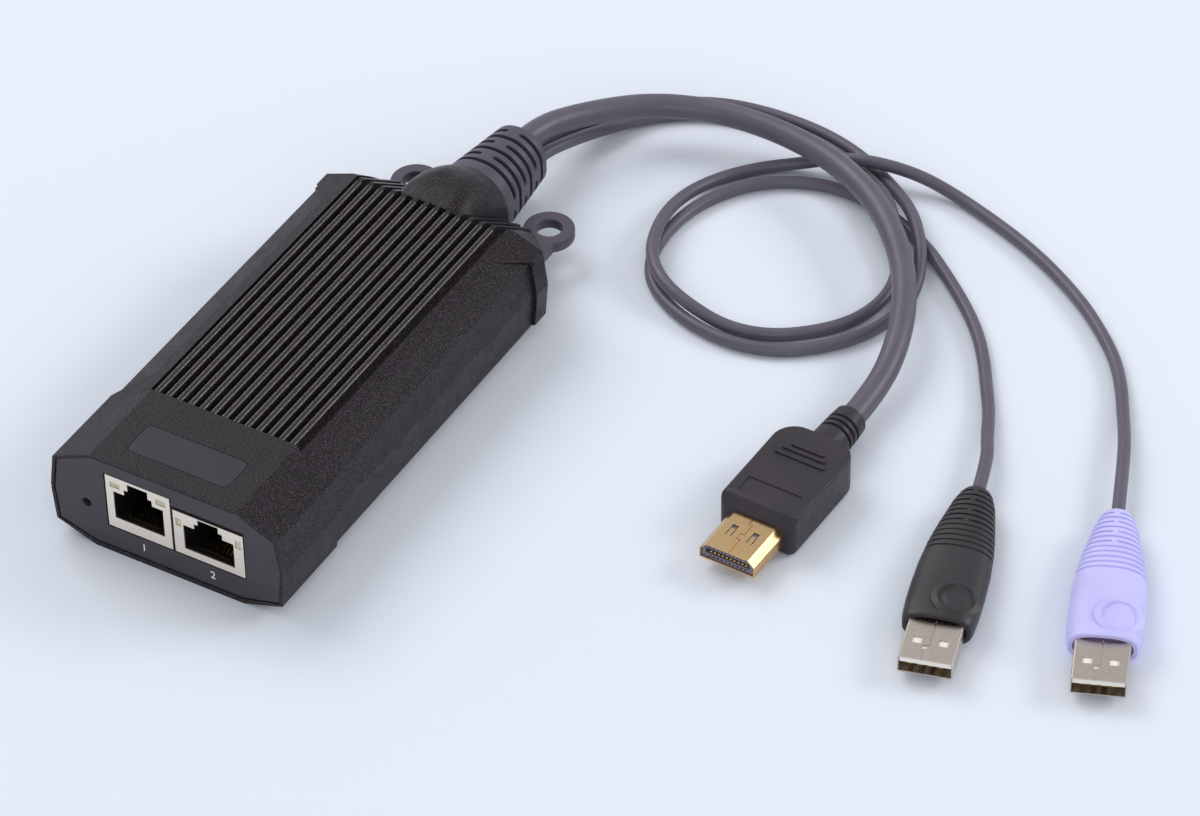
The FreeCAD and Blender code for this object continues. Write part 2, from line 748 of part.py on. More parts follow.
def make_panel():
    """The smooth front plate with one stepped cut-out for both jacks and a pinhole."""
    body = new_body("front_panel")
    at = f"{FRONT} + panel_sink"
    prism(body, "XZ_Plane", at, "panel_thick", both_sides(panel_edge("fit")))
    left = "left_jack_x - left_jack_wide / 2 - jack_gap"
    middle = "left_jack_x + left_jack_wide / 2 + jack_gap"
    right = "right_jack_x + right_jack_wide / 2 + jack_gap"
    top = f"{BOARD_TOP} + left_jack_tall + jack_gap"
    low = f"{BOARD_TOP} - jack_gap"
    step = [(right, "cut_rise"), (middle, "cut_rise")]
    corners = [(left, low), (right, low)] + step + [(middle, top), (left, top)]
    prism(body, "XZ_Plane", f"{FRONT} - 1", "panel_thick + panel_sink + 2", corners, cut=True)
    rod(body, "XZ_Plane", f"{FRONT} - 1", "panel_thick + panel_sink + 2", "reset_x", "reset_rise",
        "pinhole_radius", cut=True)
    return body


def make_badge():
    """The bare name plate let into the lid."""
    body = new_body("blank_badge")
    middle = f"({FRONT} + badge_place)"
    half_wide = "(badge_wide / 2 - fit)"
    half_deep = "(badge_deep / 2 - fit)"
    box = (f"-{half_wide}", half_wide, f"{middle} - {half_deep}", f"{middle} + {half_deep}")
    rounded_bar(body, "XY_Plane", "height - badge_thick", "badge_thick", box, "badge_corner - fit")
    return body


# Grommet and tie loops, both soft


def boot_outline(body, at, share, less):
    """The grommet's section at a share of its taper, drawn in by less."""
    sketch = new_sketch(body, "XZ_Plane", at)
    half = f"(boot_half + (tip_half - boot_half) * {share} - {less})"
    low = f"boot_low + (tip_low - boot_low) * {share} + {less}"
    high = f"boot_top + (tip_top - boot_top) * {share} - {less}"
    rounded(sketch, f"-{half}", half, low, high, f"{half} * oval")
    return sketch


def make_boot():
    """The grommet: a tapered oval sleeve with rows of slots, a neck, a flange and three bores."""
    body = new_body("cable_boot")
    loft(body, [boot_outline(body, HOOD_END, "0", "0"), boot_outline(body, BOOT_TIP, "1", "0")])
    # slots over the top and under the base, which end at a web on each side
    middle = "((boot_low + boot_top) / 2)"
    first = f"{HOOD_END} + slot_first"
    for low, high in ((f"{middle} + slot_side", "height"), ("-1", f"{middle} - slot_side")):
        box = (first, f"{first} + slot_wide", low, high)
        across = rounded_bar(body, "YZ_Plane", "-boot_half - 1", "2 * boot_half + 2", box, SLOT_END, cut=True)
        row_of(body, across, "Y_Axis", "2 * slot_pitch", "slot_rows / 2")
    # slots round both sides, which end at a web on the top and one below
    second = f"{HOOD_END} + slot_first + slot_pitch"
    for inner, outer in (("slot_web / 2", "boot_half + 1"), ("-boot_half - 1", "-slot_web / 2")):
        box = (inner, outer, second, f"{second} + slot_wide")
        down = rounded_bar(body, "XY_Plane", "-1", "height + 1", box, SLOT_END, cut=True)
        row_of(body, down, "Y_Axis", "2 * slot_pitch", "slot_rows / 2")
    core = [boot_outline(body, HOOD_END, "0", "slot_deep"), boot_outline(body, BOOT_TIP, "1", "slot_deep")]
    loft(body, core)
    neck = ("-neck_half", "neck_half", "neck_low", "neck_top")
    rounded_bar(body, "XZ_Plane", f"{BEND} + 1", f"{HOOD_END} - {BEND} - 1", neck, "neck_half * oval")
    wide = "(neck_half + flange_lip)"
    flange = (f"-{wide}", wide, "neck_low - flange_lip", "neck_top + flange_lip")
    rounded_bar(body, "XZ_Plane", f"{BEND} + 1", "flange_thick", flange, f"{wide} * oval")
    for x, z, radius in (
        ("0", "video_cord_rise", "video_cord_radius"),
        ("data_cord_half", "data_cord_rise", "data_cord_radius"),
        ("-data_cord_half", "data_cord_rise", "data_cord_radius"),
    ):
        rod(body, "XZ_Plane", BEND, f"{BOOT_TIP} - {BEND} + 1", x, z, f"{radius} + cord_slack", cut=True)
    return body


def make_loop(label, side):
    """One flat eye for a cord tie, with an arm through the wall and an upright anchor inside."""
    body = new_body(label)
    x = f"({side} * loop_x)"
    y = f"({REAR} + loop_out)"
    rod(body, "XY_Plane", "loop_rise", "loop_thick", x, y, "loop_radius")
    low, high = "loop_rise", "loop_rise + loop_thick"
    block(body, f"{x} - loop_arm", f"{x} + loop_arm", f"{ANCHOR_WALL} - 1", y, low, high)
    low, high = "loop_rise - loop_anchor", "loop_rise + loop_thick + loop_anchor"
    front = f"{ANCHOR_WALL} - anchor_thick - fit"
    block(body, f"{x} - loop_radius", f"{x} + loop_radius", front, f"{ANCHOR_WALL} - fit", low, high)
    rod(body, "XY_Plane", "0", "height", x, y, "loop_hole", cut=True)
    return body


# Board and what it carries


def make_screws():
    """Four case screws, in from below."""
    body = new_body("case_screws")
    body.AllowCompound = True
    low = "screw_seat - screw_head_tall"
    for x, y in POSTS:
        rod(body, "XY_Plane", low, "screw_head_tall", x, y, "screw_head_radius")
        rod(body, "XY_Plane", "screw_seat", "screw_long", x, y, "screw_radius")
        rod(body, "XY_Plane", low, "screw_head_tall / 2", x, y, "screw_radius / 2", cut=True)
    return body


def make_board():
    """The main board, with holes at the posts."""
    body = new_body("main_board")
    y_low, y_high = f"{FRONT} + board_front", f"{REAR} - board_back"
    block(body, "-board_half", "board_half", y_low, y_high, "board_rise", BOARD_TOP)
    for x, y in POSTS:
        rod(body, "XY_Plane", "0", "height", x, y, "screw_radius + screw_slack", cut=True)
    return body


def on_board(label, x, y, wide, deep, tall, lift="0"):
    """A flat component that stands on the board, its centre at x, y."""
    body = new_body(label)
    low = f"({BOARD_TOP} + {lift})"
    box = (f"{x} - {wide} / 2", f"{x} + {wide} / 2", f"{y} - {deep} / 2", f"{y} + {deep} / 2")
    rounded_bar(body, "XY_Plane", low, tall, box, "chip_corner")
    return body


def make_capacitors():
    """A row of upright capacitors along one side of the board."""
    body = new_body("capacitors")
    body.AllowCompound = True
    x = "-board_half + 2 * can_radius"
    can = rod(body, "XY_Plane", BOARD_TOP, "can_tall", x, "-can_pitch", "can_radius")
    row_of(body, can, "Y_Axis", "can_pitch", "can_count")
    return body


def make_header(label, x, wide):
    """A socket on the board that a cord's lead ends in."""
    body = new_body(label)
    half = f"({wide} / 2)"
    block(body, f"{x} - {half}", f"{x} + {half}", HEADER_FRONT, f"{HEADER_FRONT} + header_deep", BOARD_TOP,
          f"{BOARD_TOP} + header_tall")
    return body


def make_clamp():
    """A saddle over the leads that takes the pull of the cords."""
    body = new_body("cord_clamp")
    at = f"({REAR} - board_back - clamp_deep - clamp_inset)"
    box = ("-clamp_half", "clamp_half", BOARD_TOP, "video_cord_rise + lead_radius + clamp_wall")
    rounded_bar(body, "XZ_Plane", at, "clamp_deep", box, "clamp_wall", round_low=False)
    ear = "(clamp_half + clamp_ear)"
    block(body, f"-{ear}", ear, at, f"{at} + clamp_deep", BOARD_TOP, f"{BOARD_TOP} + clamp_wall")
    for x, z, radius in LEADS:
        rod(body, "XZ_Plane", f"{at} - 1", "clamp_deep + 2", x, z, f"{radius} + cord_slack", cut=True)
    for side in ("-", ""):
        x, y = f"{side}(clamp_half + clamp_ear / 2)", f"{at} + clamp_deep / 2"
        rod(body, "XY_Plane", "0", "height", x, y, "small_screw + cord_slack", cut=True)
    return body


def make_clamp_screws():
    """Two small screws through the clamp's ears into the board."""
    body = new_body("clamp_screws")
    body.AllowCompound = True
    y = f"{REAR} - board_back - clamp_deep / 2 - clamp_inset"
    low = f"{BOARD_TOP} + clamp_wall"
    for side in ("-", ""):
        x = f"{side}(clamp_half + clamp_ear / 2)"
        rod(body, "XY_Plane", low, "small_screw", x, y, "2 * small_screw")
        rod(body, "XY_Plane", BOARD_TOP, "clamp_wall", x, y, "small_screw")
    return body


# Network jacks


class Jack:
    """The sizes of one jack, each a text; side is left or right."""

    def __init__(self, side):
        self.side = side
        self.x = f"{side}_jack_x"
        self.half = f"({side}_jack_wide / 2)"
        self.top = f"({BOARD_TOP} + {side}_jack_tall)"
        self.front = f"({FRONT} + jack_sink)"

    def mouth(self, grow):
        """The stepped opening for a plug with its latch upwards."""
        low = f"{BOARD_TOP} + {self.side}_mouth_low - {grow}"
        levels = [
            ("mouth_half", f"{self.side}_mouth_high"),
            ("step_half", f"{self.side}_step_high"),
            ("tab_half", f"{self.side}_tab_high"),
        ]
        half = [("mouth_half", low)]
        for index, (wide, high) in enumerate(levels):
            half.append((wide, f"{BOARD_TOP} + {high}"))
            if index + 1 < len(levels):
                half.append((levels[index + 1][0], f"{BOARD_TOP} + {high}"))
        right = [(f"{self.x} + {x} + {grow}", z) for x, z in half]
        left = [(f"{self.x} - {x} - {grow}", z) for x, z in reversed(half)]
        return right + left

    def lamps(self, grow):
        """The two corner windows, as left, right, low, high."""
        side = self.side
        low = f"{BOARD_TOP} + {side}_lamp_low"
        boxes = []
        for sign in ("-", "+"):
            x = f"{self.x} {sign} {side}_lamp_x"
            wide = f"({side}_lamp_wide / 2 + {grow})"
            high = f"{low} + {side}_lamp_tall + {grow}"
            boxes.append((f"{x} - {wide}", f"{x} + {wide}", f"{low} - {grow}", high))
        return boxes


def make_shield(jack):
    """The folded metal can round a jack."""
    body = new_body(f"{jack.side}_jack_shield")
    x, half = jack.x, jack.half
    back = f"{jack.front} + jack_deep"
    block(body, f"{x} - {half}", f"{x} + {half}", jack.front, back, BOARD_TOP, jack.top)
    in_half = f"({half} - sheet)"
    block(body, f"{x} - {in_half}", f"{x} + {in_half}", f"{jack.front} + sheet", f"{back} - sheet",
          f"{BOARD_TOP} - 1", f"{jack.top} - sheet", cut=True)
    prism(body, "XZ_Plane", f"{jack.front} - 1", "sheet + 2", jack.mouth("0"), cut=True)
    for left, right, low, high in jack.lamps("0"):
        block(body, left, right, f"{jack.front} - 1", f"{jack.front} + sheet + 1", low, high, cut=True)
    return body


def make_jack_housing(jack):
    """The black insert with the plug's cavity and pockets for the light pipes."""
    body = new_body(f"{jack.side}_jack_housing")
    x = jack.x
    half = f"({jack.half} - sheet - jack_slack)"
    front = f"{jack.front} + sheet"
    back = f"{jack.front} + jack_deep - sheet - jack_slack"
    block(body, f"{x} - {half}", f"{x} + {half}", front, back, BOARD_TOP, f"{jack.top} - sheet - jack_slack")
    prism(body, "XZ_Plane", f"{front} - 1", "plug_deep + 1", jack.mouth("0"), cut=True)
    for left, right, low, high in jack.lamps("jack_slack"):
        block(body, left, right, f"{front} - 1", f"{front} + lamp_deep + jack_slack", low, high, cut=True)
    return body


def make_light_pipes(jack):
    """Two clear blocks behind the corner windows."""
    body = new_body(f"{jack.side}_light_pipes")
    body.AllowCompound = True
    front = f"{jack.front} + sheet"
    for box in jack.lamps("-jack_slack / 2"):
        block(body, box[0], box[1], f"{front} - sheet / 2", f"{front} + lamp_deep", box[2], box[3])
    return body


def make_contacts(jack):
    """Eight sprung strips that rise from the cavity's floor towards its back."""
    body = new_body(f"{jack.side}_jack_contacts")
    body.AllowCompound = True
    low = f"({BOARD_TOP} + {jack.side}_mouth_low)"
    at = f"({jack.front} + sheet)"
    thick = "(contact_wide / 2)"
    profile = [
        (f"{at} + contact_start", low),
        (f"{at} + 2 * contact_start", low),
        (f"{at} + contact_end", f"{low} + contact_lift"),
        (f"{at} + contact_end", f"{low} + contact_lift + {thick}"),
        (f"{at} + 2 * contact_start - {thick}", f"{low} + {thick}"),
        (f"{at} + contact_start", f"{low} + {thick}"),
    ]
    first = f"{jack.x} - 3.5 * contact_pitch - contact_wide / 2"
    strip = prism(body, "YZ_Plane", first, "contact_wide", profile)
    row_of(body, strip, "X_Axis", "contact_pitch", "8")
    return body


# Reset switch: the button is the only piece that moves


def make_switch():
    """The reset switch's body, with a bore and a chamber for the button's collar."""
    body = new_body("reset_switch_body")
    front = SWITCH_FRONT
    half = "switch_half"
    block(body, f"reset_x - {half}", f"reset_x + {half}", front, f"{front} + switch_deep", BOARD_TOP,
          f"reset_rise + {half}")
    rod(body, "XZ_Plane", f"{front} - 1", "switch_deep + 1 - sheet", "reset_x", "reset_rise",
        "button_radius + button_slack", cut=True)
    rod(body, "XZ_Plane", f"{front} + sheet", "collar_thick + button_travel + 2 * button_slack", "reset_x",
        "reset_rise", "button_collar + button_slack", cut=True)
    return body


def make_button():
    """The reset button: a round plunger with a collar."""
    body = new_body("reset_button")
    start = f"({SWITCH_FRONT} - button_proud)"
    long = "button_proud + sheet + collar_thick + 2 * button_slack"
    rod(body, "XZ_Plane", start, long, "reset_x", "reset_rise", "button_radius")
    rod(body, "XZ_Plane", f"{SWITCH_FRONT} + sheet + button_slack", "collar_thick", "reset_x", "reset_rise",
        "button_collar")
    return body


# Plugs, modelled along -y from the cord's end and then laid in place


def revolve(body, rise, profile):
    """Turn a profile of distance along y and radius about a level axis at a height."""
    sketch = new_sketch(body, "YZ_Plane")
    bind(sketch, "AttachmentOffset.Base.y", rise)
    polygon(sketch, profile)
    turned = body.newObject("PartDesign::Revolution", f"{body.Name}_turned")
    turned.Profile = sketch
    turned.ReferenceAxis = (sketch, ["H_Axis"])
    turned.Angle = 360
    return turned


def round_edges(body, feature, radius, wanted, kind="Fillet"):
    """Round or bevel the edges of a feature that a test accepts."""
    doc.recompute()
    names = [f"Edge{n}" for n, edge in enumerate(feature.Shape.Edges, start=1) if wanted(edge)]
    finish = body.newObject(f"PartDesign::{kind}", f"{body.Name}_{kind.lower()}")
    finish.Base = (feature, names)
    bind(finish, "Radius" if kind == "Fillet" else "Size", radius)
    return finish


def upright(edge):
    """True for a straight edge along z."""
    ends = [vertex.Point for vertex in edge.Vertexes]
    return len(ends) == 2 and (ends[0] - ends[1]).cross(Vector(0, 0, 1)).Length < 1e-6


def seam_cut(body, start, end, top):
    """The seam on a folded shell's top face, with one step to the side half way."""
    middle = f"(({start}) + ({end})) / 2"
    half = "shell_seam / 2"
    low, high = f"{top} - shell_wall / 2", f"{top} + 1"
    before, after = f"{middle} - {half}", f"{middle} + {half}"
    beside = f"seam_step + {half}"
    block(body, f"-{half}", half, start, after, low, high, cut=True)
    block(body, f"-{half}", beside, before, after, low, high, cut=True)
    block(body, f"seam_step - {half}", beside, before, end, low, high, cut=True)


def video_plug():
    """The video plug: moulded grip with a ringed neck, folded shell, insulator and contacts."""
    rise = "(video_tall / 2)"
    neck_end = "(-video_neck)"
    nose = "(-video_neck - video_body)"
    grip = new_body("video_plug_overmold")
    box = ("-video_half", "video_half", f"{nose} + nose_bevel", neck_end)
    sketch = new_sketch(grip, "XY_Plane")
    corners = [
        ("-video_half + nose_bevel", nose),
        ("video_half - nose_bevel", nose),
        ("video_half", f"{nose} + nose_band"),
        ("video_half", neck_end),
        ("-video_half", neck_end),
        ("-video_half", f"{nose} + nose_band"),
    ]
    polygon(sketch, corners)
    pad = extrude(grip, sketch, "video_tall")
    cord_end = value(neck_end)
    half_tall = value(rise)
    rounding = round_edges(
        grip, pad, "video_shoulder",
        lambda edge: upright(edge) and abs(edge.CenterOfMass.y - cord_end) < 0.01,
    )
    round_edges(
        grip, rounding, "video_bevel",
        lambda edge: abs(abs(edge.CenterOfMass.z - half_tall) - half_tall) < 0.01,
        "Chamfer",
    )
    ring = "(video_neck / neck_rings)"
    profile = [("0", "0"), ("0", "video_neck_radius")]
    for index in range(int(value("neck_rings"))):
        start = f"-{ring} * {index + 0.35}"
        end = f"-{ring} * {index + 0.65}"
        share = f"({index + 0.5} / neck_rings)"
        radius = f"video_neck_radius + (video_neck_flare - video_neck_radius) * {share}"
        floor = f"{radius} - ring_deep"
        profile += [(start, radius), (start, floor), (end, floor), (end, radius)]
    root = f"{neck_end} - 1"
    profile += [(neck_end, "video_neck_flare"), (root, "video_neck_flare"), (root, "0")]
    revolve(grip, rise, profile)
    hold = ("-video_shell_half - fit / 2", "video_shell_half + fit / 2")
    low = f"{rise} - video_shell_tall / 2 - fit / 2"
    high = f"{rise} + video_shell_tall / 2 + fit / 2"
    block(grip, hold[0], hold[1], f"{nose} - 1", f"{nose} + shell_hold", low, high, cut=True)
    pieces = [grip]

    def section(less):
        half = f"(video_shell_half - ({less}))"
        top = f"({rise} + video_shell_tall / 2 - ({less}))"
        base = f"({rise} - video_shell_tall / 2 + ({less}))"
        return both_sides([
            (f"{half} - video_shell_bevel", top),
            (half, f"{top} - video_shell_bevel"),
            (half, base),
        ])

    shell = new_body("video_plug_shell")
    length = "video_shell_long + shell_hold"
    prism(shell, "XZ_Plane", f"{nose} - video_shell_long", length, section("0"))
    hollow = section("shell_wall")
    prism(shell, "XZ_Plane", f"{nose} - video_shell_long - 1", f"{length} + 2", hollow, cut=True)
    for side in ("-1", "1"):
        x = f"{side} * window_apart / 2"
        y = f"{nose} - window_back"
        block(shell, f"{x} - window_wide / 2", f"{x} + window_wide / 2", f"{y} - window_long / 2",
              f"{y} + window_long / 2", rise, "height", cut=True)
    seam_cut(shell, f"{nose} - video_shell_long - 1", nose, f"{rise} + video_shell_tall / 2")
    insulator = new_body("video_plug_insulator")
    prism(insulator, "XZ_Plane", f"{nose} - video_shell_long + tongue_back", f"{length} - tongue_back",
          section("shell_wall + jack_slack / 2"))
    slot_half = "(video_shell_half - video_shell_bevel - shell_wall)"
    block(insulator, f"-{slot_half}", slot_half, f"{nose} - video_shell_long - 1", f"{nose} - shell_hold",
          f"{rise} - slot_tall / 2", f"{rise} + slot_tall / 2", cut=True)
    contacts = new_body("video_plug_contacts")
    contacts.AllowCompound = True
    pitch = f"({slot_half} / 5)"
    left, right = f"-4.5 * {pitch} - contact_wide / 2", f"-4.5 * {pitch} + contact_wide / 2"
    start, end = f"{nose} - video_shell_long + 2 * tongue_back", f"{nose} - shell_hold"
    low = f"{rise} - slot_tall / 2"
    strip = block(contacts, left, right, start, end, low, f"{low} + shell_wall")
    row_of(contacts, strip, "X_Axis", pitch, "10")
    pieces += [shell, insulator, contacts]
    for piece in pieces:
        place(piece, "video_plug_x", "video_plug_y", "video_plug_turn")
    return pieces


def data_outline(body, along, half, tall, less):
    """The data plug's grip in section, at a distance from the cord's end."""
    sketch = new_sketch(body, "XZ_Plane", f"-({along})")
    wide = f"({half} - {less})"
    reach = f"({tall} / 2 - {less})"
    low, high = f"data_axis_rise - {reach}", f"data_axis_rise + {reach}"
    rounded(sketch, f"-{wide}", wide, low, high, f"{reach} * 0.8")
    return sketch


def data_plug(colour):
    """One data plug: tapered ribbed grip with a round dimple, shell, insulator and contacts."""
    stations = [
        ("0", "grip_end_half", "grip_end_tall"),
        ("data_body * 0.28", "grip_end_half + (grip_wide_half - grip_end_half) * 0.52", "grip_tall * 0.9"),
        ("data_body * 0.57", "grip_wide_half - 0.2", "grip_tall"),
        ("data_body * 0.82", "grip_wide_half", "grip_tall"),
        ("data_body", "grip_front_half", "grip_tall"),
    ]
    grip = new_body(f"{colour}_plug_overmold")
    loft(grip, [data_outline(grip, *station, "0") for station in stations])
    back = "(-data_ridge_pitch)"
    beside = "grip_wide_half + 1"
    gap = block(grip, f"-({beside})", beside, f"{back} - data_ridge_wide", back, "-1", "height", cut=True)
    pattern = row_of(grip, gap, "Y_Axis", "data_ridge_pitch", "data_ridges")
    pattern.Reversed = True
    core = [data_outline(grip, *station, "data_ridge_deep") for station in stations]
    loft(grip, core)
    nose = "(-data_body)"
    sketch = new_sketch(grip, "XY_Plane", "data_axis_rise + grip_tall / 2 - data_ridge_deep")
    circle(sketch, "0", f"{nose} + dimple_back", "dimple_radius")
    circle(sketch, "0", f"{nose} + dimple_back", "dimple_radius - dimple_ring")
    extrude(grip, sketch, "2 * data_ridge_deep", cut=True)
    half = "(data_shell_half + fit / 2)"
    reach = "(data_shell_tall / 2 + fit / 2)"
    block(grip, f"-{half}", half, f"{nose} - 1", f"{nose} + shell_hold", f"data_axis_rise - {reach}",
          f"data_axis_rise + {reach}", cut=True)

    shell = new_body(f"{colour}_plug_shell")
    low, high = "data_axis_rise - data_shell_tall / 2", "data_axis_rise + data_shell_tall / 2"
    tip = f"({nose} - data_shell_long)"
    block(shell, "-data_shell_half", "data_shell_half", tip, f"{nose} + shell_hold", low, high)
    block(shell, "-data_shell_half + shell_wall", "data_shell_half - shell_wall", f"{tip} - 1",
          f"{nose} + shell_hold + 1", f"{low} + shell_wall", f"{high} - shell_wall", cut=True)
    for side in ("-1", "1"):
        x = f"{side} * data_window_apart / 2"
        y = f"{tip} + data_window_back"
        block(shell, f"{x} - data_window / 2", f"{x} + data_window / 2", f"{y} - data_window / 2",
              f"{y} + data_window / 2", "-1", "height", cut=True)
    seam_cut(shell, f"{tip} - 1", nose, high)
    insulator = new_body(f"{colour}_plug_insulator")
    wide = "(data_shell_half - shell_wall - jack_slack / 2)"
    floor = f"{low} + shell_wall + jack_slack / 2"
    end = f"{nose} + shell_hold"
    block(insulator, f"-{wide}", wide, f"{tip} + tongue_back", end, floor, f"{floor} + tongue_tall")
    block(insulator, f"-{wide}", wide, f"{nose} - 1", end, floor, f"{high} - shell_wall - jack_slack / 2")
    contacts = new_body(f"{colour}_plug_contacts")
    contacts.AllowCompound = True
    pitch = "data_contact_pitch"
    left, right = f"-1.5 * {pitch} - data_contact_wide / 2", f"-1.5 * {pitch} + data_contact_wide / 2"
    low = f"{floor} + tongue_tall"
    high = f"{low} + shell_wall / 2"
    strip = block(contacts, left, right, f"{tip} + 2 * tongue_back", f"{nose} - 1", low, high)
    row_of(contacts, strip, "X_Axis", pitch, "4")
    pieces = [grip, shell, insulator, contacts]
    for piece in pieces:
        place(piece, f"{colour}_plug_x", f"{colour}_plug_y", f"{colour}_plug_turn")
    return pieces


# Cords and inner leads: tubes along straight runs joined by arcs. Their points are chosen by hand.


def tube(label, radius, points):
    """A round tube along a route, with its length and its tightest bend printed."""
    route = [Vector(*point) for point in points]
    start = route[0]
    edges = []
    tightest = 1e9
    for before, corner, after in zip(route, route[1:], route[2:]):
        inward, outward = (before - corner).normalize(), (after - corner).normalize()
        half_turn = (math.pi - inward.getAngle(outward)) / 2
        trim = 0.45 * min(corner.distanceToPoint(before), corner.distanceToPoint(after))
        bend = trim / math.tan(half_turn)
        tightest = min(tightest, bend)
        middle = (inward + outward).normalize()
        apex = corner + middle * (bend / math.cos(half_turn) - bend)
        first, last = corner + inward * trim, corner + outward * trim
        edges += [Part.LineSegment(start, first).toShape(), Part.Arc(first, apex, last).toShape()]
        start = last
    edges.append(Part.LineSegment(start, route[-1]).toShape())
    spine = Part.Wire(edges)
    ring = Part.Circle(route[0], route[1] - route[0], value(radius)).toShape()
    piece = doc.addObject("Part::Feature", label)
    piece.Label = label
    piece.Shape = spine.makePipeShell([Part.Wire([ring])], True, False)
    section = math.pi * value(radius) ** 2
    print(f"{label}: length {spine.Length:.1f}, tightest bend {tightest:.1f}, "
          f"volume over section by length {piece.Shape.Volume / section / spine.Length:.3f}")
    return piece


def ahead(colour, rise, distance):
    """A point on a plug's axis: behind the cord's end of its grip where distance is positive."""
    turn = math.radians(value(f"{colour}_plug_turn"))
    x, y = value(f"{colour}_plug_x"), value(f"{colour}_plug_y")
    return (x - math.sin(turn) * distance, y + math.cos(turn) * distance, value(rise))


def make_cords():
    """The three cords, from inside the grommet over the table to their plugs."""
    start, side = value(CORD_START), value("data_cord_half")
    video = [
        (0, start, value("video_cord_rise")),
        (0, 93.5, value("video_cord_rise")),
        (6.5, 108, 12.7),
        (16.5, 120.5, 10.6),
        (31, 127, 9.6),
        (48, 127.5, 9.5),
        (64.5, 123.5, 9.7),
        (79, 115.5, 9.8),
        (91, 104, 9.4),
        (100, 90.5, 8.8),
        (106, 75.5, 7.6),
        ahead("video", "video_tall / 2", 12),
        ahead("video", "video_tall / 2", 0),
    ]
    violet = [
        (side, start, value("data_cord_rise")),
        (side, 92.5, value("data_cord_rise")),
        (3.5, 102, 6.6),
        (6, 111, 4.4),
        (9.5, 120, 2.4),
        (15, 127.5, 1.6),
        (23, 133, 1.6),
        (32, 136, 1.6),
        (42, 137.5, 1.6),
        (51.5, 137, 1.6),
        (61, 134.5, 1.6),
        (69.5, 130, 2.0),
        (77, 124, 4.7),
        (83, 117, 5.4),
        (88.5, 109.5, 3.8),
        (92.5, 100.5, 1.8),
        (93, 91, 1.6),
        (90, 82, 1.6),
        (83.5, 74.5, 1.6),
        (75.5, 69, 1.6),
        (66, 67, 1.8),
        (56.5, 67.5, 3.9),
        (47.5, 70.5, 5.2),
        (40.5, 77.5, 5.4),
        (37, 86.5, 5.1),
        (35.5, 96, 4.4),
        (36, 106, 2.6),
        (39.5, 115, 1.6),
        (45.5, 122, 1.6),
        (53.5, 127.5, 2.2),
        (62.5, 130.5, 5.2),
        (72, 132.5, 5.8),
        (81.5, 134.5, 4.2),
        (90.5, 134.5, 1.9),
        (100, 131.5, 1.6),
        (109, 128, 1.6),
        (117.5, 124, 1.6),
        (126, 119, 1.6),
        (134, 113.5, 1.6),
        (141, 107.5, 1.6),
        (148, 100.5, 1.6),
        (153.5, 92.5, 1.8),
        (158, 84, 2.4),
        (162.5, 75.5, 3.4),
        ahead("violet", "data_axis_rise", 11),
        ahead("violet", "data_axis_rise", 0),
    ]
    black = [
        (-side, start, value("data_cord_rise")),
        (-side, 92.5, value("data_cord_rise")),
        (0, 102, 6.7),
        (2.5, 111.5, 4.7),
        (5.5, 120.5, 2.8),
        (11, 129, 1.7),
        (18.5, 135.5, 1.6),
        (27.5, 139.5, 1.6),
        (37.5, 141, 1.6),
        (47.5, 141, 1.6),
        (57, 139.5, 1.6),
        (66.5, 136, 1.6),
        (75, 131, 1.6),
        (82.5, 124.5, 3.6),
        (89, 117, 5.5),
        (94.5, 109, 4.2),
        (98, 100, 1.9),
        (98.5, 90.5, 1.6),
        (95.5, 81, 1.6),
        (89.5, 72.5, 1.6),
        (81.5, 66, 1.6),
        (72, 63, 1.6),
        (62, 63.5, 1.6),
        (52.5, 66.5, 1.6),
        (44, 72, 1.6),
        (39, 80, 1.6),
        (37.5, 90, 1.6),
        (38.5, 100, 1.6),
        (42, 109, 1.6),
        (48, 117, 1.6),
        (56.5, 122, 1.6),
        (66, 124, 1.6),
        (76, 122.5, 1.6),
        (85, 119, 1.6),
        (94, 114, 1.6),
        (101.5, 108, 1.6),
        (109, 101.5, 1.6),
        (116, 94.5, 1.6),
        (122, 86.5, 1.6),
        (127, 78, 1.7),
        (132, 69.5, 2.2),
        (136, 60.5, 3.2),
        ahead("black", "data_axis_rise", 9),
        ahead("black", "data_axis_rise", 0),
    ]
    return [
        tube("video_cord", "video_cord_radius", video),
        tube("data_cord_violet", "data_cord_radius", violet),
        tube("data_cord_black", "data_cord_radius", black),
    ]


def make_leads():
    """The cords' ends inside the housing, from the grommet to their sockets on the board."""
    start, side = value(CORD_START), value("data_cord_half")
    clamp = value(f"{REAR} - board_back - clamp_deep - clamp_inset")
    end = value(f"{HEADER_FRONT} + header_deep")
    high, low = value("video_cord_rise"), value("data_cord_rise")
    level = value(f"{BOARD_TOP} + header_tall / 2")
    bend, straight = clamp - value("lead_bend"), end + value("lead_straight")
    video_x, data_x = value("video_header_x"), value("data_header_x")
    video = [(0, start, high), (0, bend, high), (video_x, straight, level), (video_x, end, level)]
    leads = [tube("video_lead", "lead_radius", video)]
    for word, sign in (("black", -1), ("violet", 1)):
        x, beside = data_x + value("lead_apart") * sign, side * sign
        points = [(beside, start, low), (beside, bend, low), (x, straight, level), (x, end, level)]
        leads.append(tube(f"{word}_lead", "data_lead_radius", points))
    return leads


JACKS = [Jack("left"), Jack("right")]
BEHIND_JACKS = f"{FRONT} + jack_deep + transformer_behind"
TRANSFORMER = ("transformer_wide", "transformer_deep", "transformer_tall")
